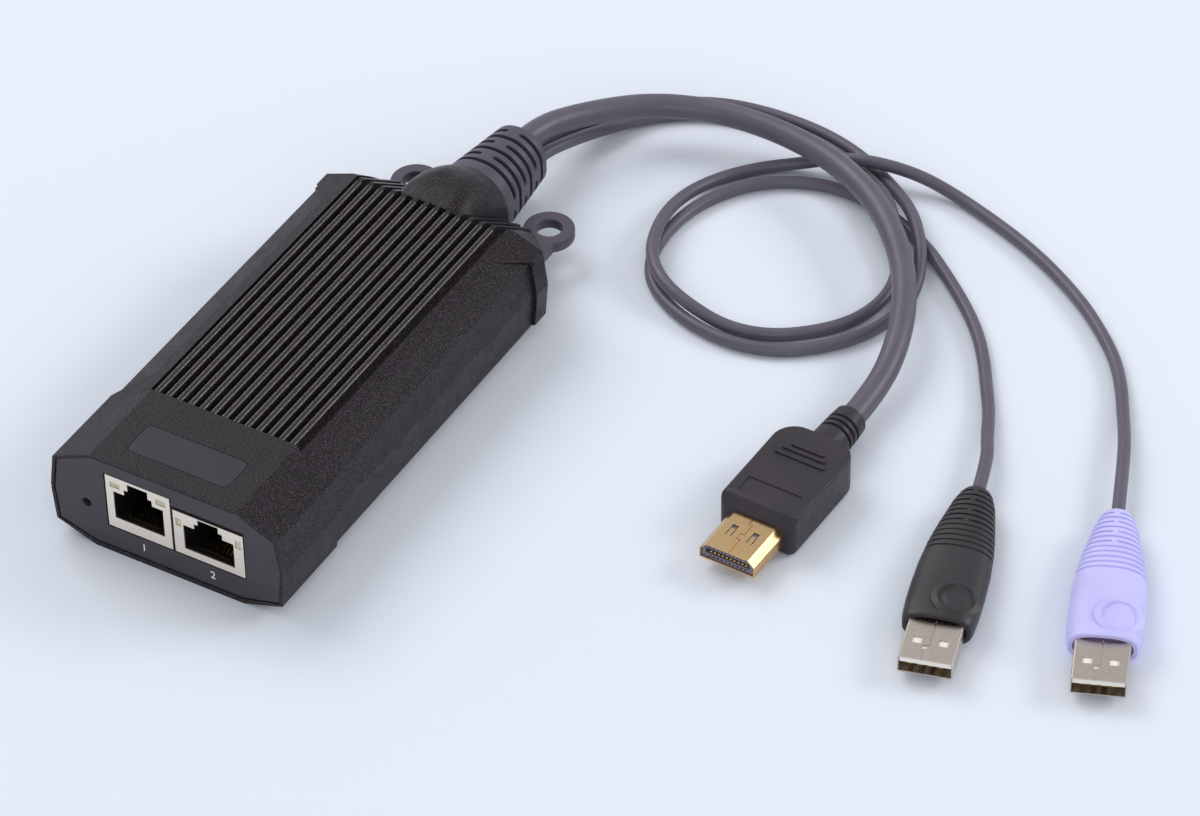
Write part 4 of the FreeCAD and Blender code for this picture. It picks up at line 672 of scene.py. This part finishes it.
def square_off(piece, begin, length):
    """Swell each oval section towards a rounded rectangle, more so towards the nose."""
    mesh = bmesh.from_edit_mesh(piece.data)
    for corner in mesh.verts:
        share = min(1, max(0, (-corner.co.y / MM - begin) / length))
        wide, tall, square = grip_size(share)
        x, z = corner.co.x / MM / wide, (corner.co.z / MM - DATA_AXIS) / tall
        reach = math.hypot(x, z)
        if reach > 0.01:
            swell = reach / (abs(x) ** square + abs(z) ** square) ** (1 / square)
            swell = 1 + (swell * (abs(x / reach) ** 2 + abs(z / reach) ** 2) - 1) * min(1, reach)
            corner.co.x *= swell
            corner.co.z = (DATA_AXIS + (corner.co.z / MM - DATA_AXIS) * swell) * MM
    bmesh.update_edit_mesh(piece.data)


def bridge(piece, at):
    """Fill a groove at the top centre and below, where it stops at a small bridge."""
    for side in (1, -1):
        pick(piece, "VERT", lambda middle, along: abs(middle.x) < BRIDGE_HALF
             and BRIDGE_SPARE < -middle.y - at < GROOVE_WIDE - BRIDGE_SPARE
             and (middle.z - DATA_AXIS) * side > 0)
        shift(z=DEEP_GROOVE * side)


print("half-way along, a grip is", 2 * grip_size(0.5)[0], "mm wide")


# %% The grip, drawn out of one round face
def round_mark():
    """The mark on the grip: a low ring with a dome inside, made by insets of one round face."""
    clear()
    bpy.ops.mesh.primitive_circle_add(vertices=64, radius=MARK_RADIUS * MM, fill_type="NGON",
                                      location=(0, 0, 0))
    mark = start("mark")
    pick_all()
    push(z=MARK_FOOT)
    for wide, rise in MARK_STEPS:
        inset(wide, rise)
    pick_all()
    bpy.ops.transform.rotate(value=-MARK_TILT, orient_axis="Y", center_override=(0, 0, 0))
    shift(*MARK_AT, DATA_AXIS + MARK_RISE)
    close()
    return mark


def data_grip(colour, finish):
    """The soft grip with its grooves, its bridges and the round mark on its front half."""
    begin = GRIP_START[colour]
    length = DATA_NOSE - begin
    piece = start_face(f"{colour}_grip", (0, -begin, DATA_AXIS), radius=1, corners=72)
    was_wide = was_tall = 1
    was = 0
    for share, deep in grip_stations(length):
        wide, tall = (size - deep for size in grip_size(share)[:2])
        if share:
            push(y=-(share - was) * length)
        scale(wide / was_wide, 1, tall / was_tall)
        was, was_wide, was_tall = share, wide, tall
    inset(NOSE_LIP)
    push(y=NOSE_DEEP)
    square_off(piece, begin, length)
    for index in BRIDGED_GROOVES:
        bridge(piece, begin + (GROOVE_FIRST + GROOVE_PITCH * index) * length)
    close()
    ease(piece, GRIP_EDGE, turn=38)
    carve(piece, round_mark(), "UNION")
    return finish_piece(piece, finish, DATA_LIE[colour])


plugs = {}
for colour in DATA_LIE:
    grip = data_grip(colour, f"plug_{colour}")
    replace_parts(grip, f"{colour}_plug_overmold")
    plugs[f"{colour}_plug"] = [grip]
    print(grip.name, "has", len(grip.data.polygons), "faces")

# %% [markdown]
# ## Data plugs: shell and insulator
# The shell is one folded sheet of plated steel: a flat tube with small round folds, a seam along
# its top that steps to the side at a lock, and spring windows. It starts as a block whose long
# edges are rounded; its front face is drawn in by the sheet's thickness and pushed back, which
# leaves the wall. The insulator's tongue fills the upper half, so it shows in the windows. The
# seam is cut after the edges are eased, because it is too narrow for a bevel of its own.

# %% Folded sheet
SHEET, SHEET_EDGE, SEAM, SEAM_DEEP = 0.32, 0.06, 0.2, 0.28
# how far a shell reaches back into its grip, how thick its rear wall is, and a cutter's overshoot
HELD, REAR_WALL, PAST = 3, 1, 1


def lengthwise(middle, along):
    """A test for pick: an edge that runs along the plug."""
    return abs(along.y) > 0.9


def tube(name, low, high, corner, chamfer=0):
    """A tube of folded sheet along y, open at its front; a chamfer bevels its two upper folds."""
    piece = start_block(name, low, high)
    if chamfer:
        half_up = (low[2] + high[2]) / 2
        pick(piece, "EDGE", lambda middle, along: lengthwise(middle, along) and middle.z > half_up)
        bevel(chamfer, 1)
    pick(piece, "EDGE", lengthwise)
    bevel(corner, 4)
    pick(piece, "FACE", lambda middle, normal: normal.y < -0.9)
    inset(SHEET)
    push(y=high[1] - low[1] - REAR_WALL)
    close()
    return piece


def seam(piece, steps, top):
    """Cut the seam on a shell's top; steps are (y, x) places where it starts, jumps aside and ends."""
    half, floor = SEAM / 2, top - SEAM_DEEP
    for (y0, x0), (y1, x1) in zip(steps, steps[1:]):
        left, right = sorted((x0, x1))
        carve(piece, tool_block((x0 - half, -y1 - half, floor), (x0 + half, -y0, top + PAST)))
        if x0 != x1:
            carve(piece, tool_block((left - half, -y1 - half, floor),
                                    (right + half, -y1 + half, top + PAST)))


print("sheet", SHEET, "mm thick")

# %% Shell and tongue of a data plug
SHELL_HALF, SHELL_TALL, SHELL_FOLD = 6.0, 4.5, 0.45
WINDOW_X, WINDOW_Y, WINDOW, WINDOW_CORNER = 2.85, 52.2, 2.1, 0.25
LOCK_LOW, LOCK_HIGH, LOCK_CORNER = (-1.5, -54.6), (-0.3, -53.6), 0.15
DATA_SEAM = [(DATA_NOSE, 0), (53.5, -0.9), (DATA_TIP + PAST, -0.9)]
INSULATOR_HALF, INSULATOR_ROOM, INSULATOR_EDGE = 1.85, 0.08, 0.08
TONGUE_LIFT, TONGUE_BACK, TONGUE_ROUND = 0.3, 0.35, 0.3
# how far behind the grip's nose the insulator's block starts, and the tongue's root in it
BLOCK_IN, ROOT_IN = 1, 2
# a height above every shell
ABOVE = 9


def data_shell(colour):
    """The plated shell of a data plug with its windows, its seam and the lock in the seam."""
    low, top = DATA_AXIS - SHELL_TALL / 2, DATA_AXIS + SHELL_TALL / 2
    piece = tube(f"{colour}_shell", (-SHELL_HALF, -DATA_TIP, low), (SHELL_HALF, HELD - DATA_NOSE, top),
                 SHELL_FOLD)
    for side in (-1, 1):
        x = side * WINDOW_X
        carve(piece, tool_block((x - WINDOW / 2, -WINDOW_Y - WINDOW / 2, -PAST),
                                (x + WINDOW / 2, -WINDOW_Y + WINDOW / 2, ABOVE), WINDOW_CORNER))
    carve(piece, tool_block((*LOCK_LOW, DATA_AXIS), (*LOCK_HIGH, ABOVE), LOCK_CORNER))
    ease(piece, SHEET_EDGE, turn=50)
    seam(piece, DATA_SEAM, top)
    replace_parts(finish_piece(piece, "plug_nickel", DATA_LIE[colour]), f"{colour}_plug_shell")
    return piece


def data_insulator(colour):
    """The white insulator: a block deep in the shell with a tongue along its upper half."""
    wide = SHELL_HALF - SHEET - INSULATOR_ROOM
    floor, top = DATA_AXIS - INSULATOR_HALF, DATA_AXIS + INSULATOR_HALF
    piece = start_block(f"{colour}_insulator", (-wide, BLOCK_IN - DATA_NOSE, floor),
                        (wide, HELD - DATA_NOSE, top))
    close()
    tongue = start_block("tongue", (-wide, TONGUE_BACK - DATA_TIP, DATA_AXIS + TONGUE_LIFT),
                         (wide, ROOT_IN - DATA_NOSE, top))
    pick(tongue, "EDGE", lambda middle, along: middle.y < -DATA_NOSE and abs(along.x) > 0.9)
    bevel(TONGUE_ROUND, 2)
    close()
    carve(piece, tongue, "UNION")
    ease(piece, INSULATOR_EDGE, turn=50)
    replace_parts(finish_piece(piece, "insert_white", DATA_LIE[colour]), f"{colour}_plug_insulator")
    return piece


for colour in DATA_LIE:
    contacts = nodes[f"{colour}_plug_contacts"]
    plugs[f"{colour}_plug"] += [data_shell(colour), data_insulator(colour), contacts]
print(len(DATA_LIE), "shells with their insulators")

# %% [markdown]
# ## Video plug: the grip
# This grip is a flat moulded block: straight sides, round shoulders, a front that slopes down to
# the shell and a ringed neck. A block is bevelled twice, first its upright edges and then the
# rims of its top and its base, as a modeller would do it. The neck is drawn out of a round face,
# as the data grips are.

# %% Sizes of the video plug
VIDEO_LIE = (107.7, 49.5, -2.0)
VIDEO_HALF, VIDEO_TALL, VIDEO_ROOT, VIDEO_NOSE = 9.5, 10.4, 12.5, 41.5
VIDEO_AXIS = VIDEO_TALL / 2
SLOPE_BACK, SLOPE_LOW = 2.6, 8.1
SHOULDER, FRONT_CORNER, TOP_RIM, BASE_RIM, VIDEO_EDGE = 5.6, 1.9, 1.0, 1.8, 0.12
# distance of each bar from the cord's end, and half its length
FINGER_BARS = [(19.0, 4.1), (20.7, 5.4), (22.7, 6.3)]
BAR_HALF, BAR_RISE, SMALL_CORNER = 0.45, 0.35, 0.4
FIELD_LOW, FIELD_HIGH, FIELD_DEEP = (-6.8, -37.9), (6.8, -32.8), 0.22
# distance from the cord's end, radius
NECK = [(0, 3.5), (0.3, 3.9), (3.2, 4.15), (9.6, 4.4), (11, 4.5), (13.5, 4.8)]
NECK_GROOVES, NECK_GROOVE_FIRST, NECK_GROOVE_PITCH = 3, 3.7, 1.8
NECK_GROOVE, NECK_SLOPE, NECK_DEEP, NECK_SPARE = 0.85, 0.12, 0.6, 0.1
VIDEO_SHELL_HALF, VIDEO_SHELL_TALL, VIDEO_TIP = 6.95, 4.45, 53.5
VIDEO_FOLD, VIDEO_CHAMFER = 0.22, 1.75


def neck_radius(along):
    """Radius of the neck at a distance from the cord's end."""
    for (s0, r0), (s1, r1) in zip(NECK, NECK[1:]):
        if along <= s1:
            return r0 + (r1 - r0) * (along - s0) / (s1 - s0)
    return NECK[-1][1]


print("the video plug is", VIDEO_TIP, "mm long")


# %% The video grip
def video_neck():
    """The ringed neck, drawn out of a round face from the cord to the body."""
    stations = [(row[0], 0) for row in NECK]
    for index in range(NECK_GROOVES):
        stations = groove(stations, NECK_GROOVE_FIRST + NECK_GROOVE_PITCH * index, NECK_GROOVE,
                          NECK_SLOPE, NECK_DEEP, NECK_SPARE)
    was, was_radius = NECK[0]
    neck = start_face("neck", (0, 0, VIDEO_AXIS), was_radius, corners=64)
    for along, deep in sorted(stations)[1:]:
        radius = neck_radius(along) - deep
        push(y=was - along)
        scale(radius / was_radius, 1, radius / was_radius)
        was, was_radius = along, radius
    pick_all()
    bpy.ops.mesh.normals_make_consistent(inside=False)
    close()
    return neck


def video_grip():
    """The moulded body with its neck, its finger bars and a bare sunken field."""
    piece = start_block("video_grip", (-VIDEO_HALF, -VIDEO_NOSE, 0), (VIDEO_HALF, -VIDEO_ROOT, VIDEO_TALL))
    half_way = -(VIDEO_ROOT + VIDEO_NOSE) / 2
    pick(piece, "EDGE", lambda middle, along: upright(middle, along) and middle.y > half_way)
    bevel(SHOULDER, 10)
    pick(piece, "EDGE", lambda middle, along: upright(middle, along) and middle.y < half_way)
    bevel(FRONT_CORNER, 6)
    pick_all()
    bpy.ops.mesh.bisect(plane_co=mm(0, SLOPE_BACK - VIDEO_NOSE, VIDEO_TALL),
                        plane_no=Vector((0, SLOPE_LOW - VIDEO_TALL, SLOPE_BACK)).normalized(),
                        clear_outer=True, use_fill=True)
    for level, radius in ((VIDEO_TALL, TOP_RIM), (0, BASE_RIM)):
        pick(piece, "FACE", lambda middle, normal: abs(middle.z - level) < 0.01)
        bpy.ops.mesh.region_to_loop()
        bevel(radius, 5)
    close()
    carve(piece, video_neck(), "UNION")
    for y, half in FINGER_BARS:
        bar = tool_block((-half, -y - BAR_HALF, VIDEO_TALL - PAST),
                         (half, -y + BAR_HALF, VIDEO_TALL + BAR_RISE), SMALL_CORNER)
        carve(piece, bar, "UNION")
    carve(piece, tool_block((*FIELD_LOW, VIDEO_TALL - FIELD_DEEP), (*FIELD_HIGH, VIDEO_TALL + PAST),
                            SMALL_CORNER))
    ease(piece, VIDEO_EDGE, turn=40)
    finish_piece(piece, "plug_charcoal", VIDEO_LIE)
    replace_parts(piece, "video_plug_overmold")
    return piece


plugs["video_plug"] = [video_grip()]
print("video grip:", len(plugs["video_plug"][0].data.polygons), "faces")

# %% [markdown]
# ## Video plug: shell, insulator and contacts
# The gold shell is made as the data shells are, with its two upper folds bevelled wide. The
# insulator fills it: a slot for the mating tongue, ten contact blades on the slot's floor and
# two rows of small holes. The holes are what makes such a nose look real, and they are cut
# with one tool each.

# %% The gold shell
SPRING_X, SPRING_HALF, SPRING_CORNER = 2.65, 0.75, 0.12
SPRING_FROM, SPRING_TO = -46.3, -45.1
SLIT_OFF, SLIT_HALF, SLIT_FROM, SLIT_TO = 0.64, 0.11, -48.8, -46
SIDE_LINE_DEEP, SIDE_LINE_LOW, SIDE_LINE_HIGH = 0.12, 3.95, 4.15
VIDEO_SEAM = [(VIDEO_NOSE, -0.45), (43.5, 0.45), (46.9, -0.45), (48.7, 0.45), (VIDEO_TIP + PAST, 0.45)]


def video_shell():
    """The gold shell with its seam, its spring windows, their slits and a line along each side."""
    low, top = VIDEO_AXIS - VIDEO_SHELL_TALL / 2, VIDEO_AXIS + VIDEO_SHELL_TALL / 2
    piece = tube("video_shell", (-VIDEO_SHELL_HALF, -VIDEO_TIP, low),
                 (VIDEO_SHELL_HALF, HELD - VIDEO_NOSE, top), VIDEO_FOLD, VIDEO_CHAMFER)
    for x in (-SPRING_X, SPRING_X):
        carve(piece, tool_block((x - SPRING_HALF, SPRING_FROM, VIDEO_AXIS),
                                (x + SPRING_HALF, SPRING_TO, ABOVE), SPRING_CORNER))
    ease(piece, SHEET_EDGE, turn=50)
    for side in (-1, 1):
        x = side * SPRING_X
        for slit in (x - SLIT_OFF, x + SLIT_OFF):
            carve(piece, tool_block((slit - SLIT_HALF, SLIT_FROM, VIDEO_AXIS),
                                    (slit + SLIT_HALF, SLIT_TO, ABOVE)))
        edge = side * VIDEO_SHELL_HALF
        carve(piece, tool_block((edge - SIDE_LINE_DEEP, -VIDEO_TIP - PAST, SIDE_LINE_LOW),
                                (edge + SIDE_LINE_DEEP, -VIDEO_NOSE, SIDE_LINE_HIGH)))
    seam(piece, VIDEO_SEAM, top)
    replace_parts(finish_piece(piece, "plug_gold", VIDEO_LIE), "video_plug_shell")
    return piece


plugs["video_plug"].append(video_shell())
print("gold shell:", len(plugs["video_plug"][-1].data.polygons), "faces")

# %% The insulator and its blades
BLADES, BLADE_PITCH, BLADE_HALF, BLADE_RISE, BLADE_SUNK = 10, 0.98, 0.24, 0.5, 0.2
BLADE_BACK, BLADE_FRONT, BLADE_ROUND = 0.75, 2, 0.3
NOSE_ROOM, NOSE_CHAMFER, NOSE_BACK = 0.05, 1.7, 0.35
SLOT_HALF, SLOT_FLOOR, SLOT_CEILING = 5.5, VIDEO_AXIS - 0.65, VIDEO_AXIS + 0.75
SLOT_END = -VIDEO_NOSE - 3
NOSE_LOW, NOSE_TOP = VIDEO_AXIS - INSULATOR_HALF, VIDEO_AXIS + INSULATOR_HALF
# half width, floor and ceiling of the holes in the lower and the upper row, and their depth
HOLES = [(0.25, NOSE_LOW + 0.35, NOSE_LOW + 0.85), (0.22, NOSE_TOP - 0.8, NOSE_TOP - 0.4)]
HOLE_DEEP = 2


def video_insulator():
    """The insulator with its slot and the two rows of small holes round it."""
    wide = VIDEO_SHELL_HALF - SHEET - NOSE_ROOM
    piece = start_block("video_insulator", (-wide, NOSE_BACK - VIDEO_TIP, NOSE_LOW),
                        (wide, HELD - VIDEO_NOSE, NOSE_TOP))
    pick(piece, "EDGE", lambda middle, along: lengthwise(middle, along) and middle.z > VIDEO_AXIS)
    bevel(NOSE_CHAMFER, 1)
    close()
    carve(piece, tool_block((-SLOT_HALF, -VIDEO_TIP - PAST, SLOT_FLOOR),
                            (SLOT_HALF, SLOT_END, SLOT_CEILING)))
    for index in range(BLADES):
        x = (index - (BLADES - 1) / 2) * BLADE_PITCH
        for half, floor, ceiling in HOLES:
            carve(piece, tool_block((x - half, -VIDEO_TIP - PAST, floor),
                                    (x + half, HOLE_DEEP - VIDEO_TIP, ceiling)))
    finish_piece(piece, "insert_nose", VIDEO_LIE)
    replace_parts(piece, "video_plug_insulator")
    return piece


def video_blades():
    """The contact blades on the slot's floor, modelled once and copied."""
    blade = start_block("video_blades", (-BLADE_HALF, BLADE_BACK - VIDEO_TIP, SLOT_FLOOR - BLADE_SUNK),
                        (BLADE_HALF, SLOT_END, SLOT_FLOOR + BLADE_RISE))
    pick(blade, "EDGE", lambda middle, along: abs(along.x) > 0.9
         and middle.y < SLOT_END - BLADE_FRONT and middle.z > SLOT_FLOOR)
    bevel(BLADE_ROUND, 3)
    pick_all()
    shift(x=-(BLADES - 1) / 2 * BLADE_PITCH)
    close()
    change(blade, "ARRAY", count=BLADES, use_relative_offset=False, use_constant_offset=True,
           constant_offset_displace=mm(BLADE_PITCH, 0, 0))
    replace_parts(finish_piece(blade, "contact_gold", VIDEO_LIE), "video_plug_contacts")
    return blade


plugs["video_plug"] += [video_insulator(), video_blades()]
print("video nose with", BLADES, "blades")

# %% [markdown]
# ## Port numbers
# The front panel carries small white print under its jacks. Here it is plain numbers, made as
# text, turned into a mesh and given a hair's breadth of thickness, like ink from a pad.

# %% Numbers
PANEL_FACE = -61.8
NUMBER_AT = {"1": -6.4, "2": 11.4}
NUMBER_MIDDLE, NUMBER_TALL, INK = 4.7, 2.0, 0.02
CAPITAL_SHARE = 0.7


def number(figure, x):
    """A printed figure on the front panel, its middle at x."""
    clear()
    bpy.ops.object.text_add(location=(0, 0, 0))
    piece = bpy.context.object
    piece.data.body = figure
    piece.data.size = NUMBER_TALL * MM / CAPITAL_SHARE
    piece.data.align_x = "CENTER"
    piece.data.extrude = INK * MM
    piece.data.resolution_u = 6
    bpy.ops.object.convert(target="MESH")
    piece.name = piece.data.name = f"number_{figure}"
    piece.rotation_euler = (math.pi / 2, 0, 0)
    piece.location = mm(x, PANEL_FACE, NUMBER_MIDDLE - NUMBER_TALL / 2)
    bpy.ops.object.transform_apply(location=True, rotation=True, scale=True)
    finish_piece(piece, "print_white")


for figure, x in NUMBER_AT.items():
    number(figure, x)
print(len(NUMBER_AT), "numbers printed")

# %% [markdown]
# ## Cords
# A cord is a round jacket on a soft core, so its line never has a corner. One smooth spline
# carries each cord: straight out of the grommet, down to the table, round in the loop that the
# picture shows, and straight into the plug. Where one crosses another it rises in a low hump. A
# spline with a round bevel keeps the points editable, which a tube made of faces would not.

# %% Cord routes, in millimetres
VIDEO = [
    (0, 81, 15.4), (0, 93.5, 15.4), (6.5, 108, 12.7), (16.5, 120.5, 10.6), (31, 127, 9.6),
    (48, 127.5, 9.5), (64.5, 123.5, 9.7), (79, 115.5, 9.8), (91, 104, 9.4), (100, 90.5, 8.8),
    (106, 75.5, 7.6), (108.119, 61.493, 5.2), (107.7, 49.5, 5.2),
]
VIOLET = [
    (1.8, 81, 8.6), (1.8, 92.5, 8.6), (3.5, 102, 6.6), (6, 111, 4.4), (9.5, 120, 2.4), (15, 127.5, 1.6),
    (23, 133, 1.6), (32, 136, 1.6), (42, 137.5, 1.6), (51.5, 137, 1.6), (61, 134.5, 1.6), (69.5, 130, 2.0),
    (77, 124, 4.7), (83, 117, 5.4), (88.5, 109.5, 3.8), (92.5, 100.5, 1.8), (93, 91, 1.6), (90, 82, 1.6),
    (83.5, 74.5, 1.6), (75.5, 69, 1.6), (66, 67, 1.8), (56.5, 67.5, 3.9), (47.5, 70.5, 5.2),
    (40.5, 77.5, 5.4), (37, 86.5, 5.1), (35.5, 96, 4.4), (36, 106, 2.6), (39.5, 115, 1.6),
    (45.5, 122, 1.6), (53.5, 127.5, 2.2), (62.5, 130.5, 5.2), (72, 132.5, 5.8), (81.5, 134.5, 4.2),
    (90.5, 134.5, 1.9), (100, 131.5, 1.6), (109, 128, 1.6), (117.5, 124, 1.6), (126, 119, 1.6),
    (134, 113.5, 1.6), (141, 107.5, 1.6), (148, 100.5, 1.6), (153.5, 92.5, 1.8), (158, 84, 2.4),
    (162.5, 75.5, 3.4), (167.168, 64.835, 4.15), (173.6, 48.5, 4.15),
]
BLACK = [
    (-1.8, 81, 8.6), (-1.8, 92.5, 8.6), (0, 102, 6.7), (2.5, 111.5, 4.7), (5.5, 120.5, 2.8), (11, 129, 1.7),
    (18.5, 135.5, 1.6), (27.5, 139.5, 1.6), (37.5, 141, 1.6), (47.5, 141, 1.6), (57, 139.5, 1.6),
    (66.5, 136, 1.6), (75, 131, 1.6), (82.5, 124.5, 3.6), (89, 117, 5.5), (94.5, 109, 4.2), (98, 100, 1.9),
    (98.5, 90.5, 1.6), (95.5, 81, 1.6), (89.5, 72.5, 1.6), (81.5, 66, 1.6), (72, 63, 1.6), (62, 63.5, 1.6),
    (52.5, 66.5, 1.6), (44, 72, 1.6), (39, 80, 1.6), (37.5, 90, 1.6), (38.5, 100, 1.6), (42, 109, 1.6),
    (48, 117, 1.6), (56.5, 122, 1.6), (66, 124, 1.6), (76, 122.5, 1.6), (85, 119, 1.6), (94, 114, 1.6),
    (101.5, 108, 1.6), (109, 101.5, 1.6), (116, 94.5, 1.6), (122, 86.5, 1.6), (127, 78, 1.7),
    (132, 69.5, 2.2), (136, 60.5, 3.2), (139.995, 52.773, 4.15), (144.1, 37.8, 4.15),
]
print("points of the routes:", len(VIDEO), len(VIOLET), len(BLACK))


def cord(name, points, diameter):
    """One cord along its points, out of the grommet's mouth and on to where its plug lies."""
    curve = bpy.data.curves.new(name, "CURVE")
    curve.dimensions = "3D"
    line = curve.splines.new("NURBS")
    line.points.add(len(points) - 1)
    for knot, point in zip(line.points, points):
        knot.co = (*mm(*point), 1)
    line.order_u = 3
    line.use_endpoint_u = True
    curve.resolution_u = 8
    curve.bevel_depth = diameter / 2 * MM
    curve.bevel_resolution = 6
    curve.use_fill_caps = True
    curve.materials.append(finishes["cord_grey"])
    piece = bpy.data.objects.new(name, curve)
    bpy.context.scene.collection.objects.link(piece)
    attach(piece, "adapter")
    return piece


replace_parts(cord("video_jacket", VIDEO, 5.8), "video_cord")
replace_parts(cord("violet_jacket", VIOLET, 3.0), "data_cord_violet")
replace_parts(cord("black_jacket", BLACK, 3.0), "data_cord_black")
print("three cords laid")
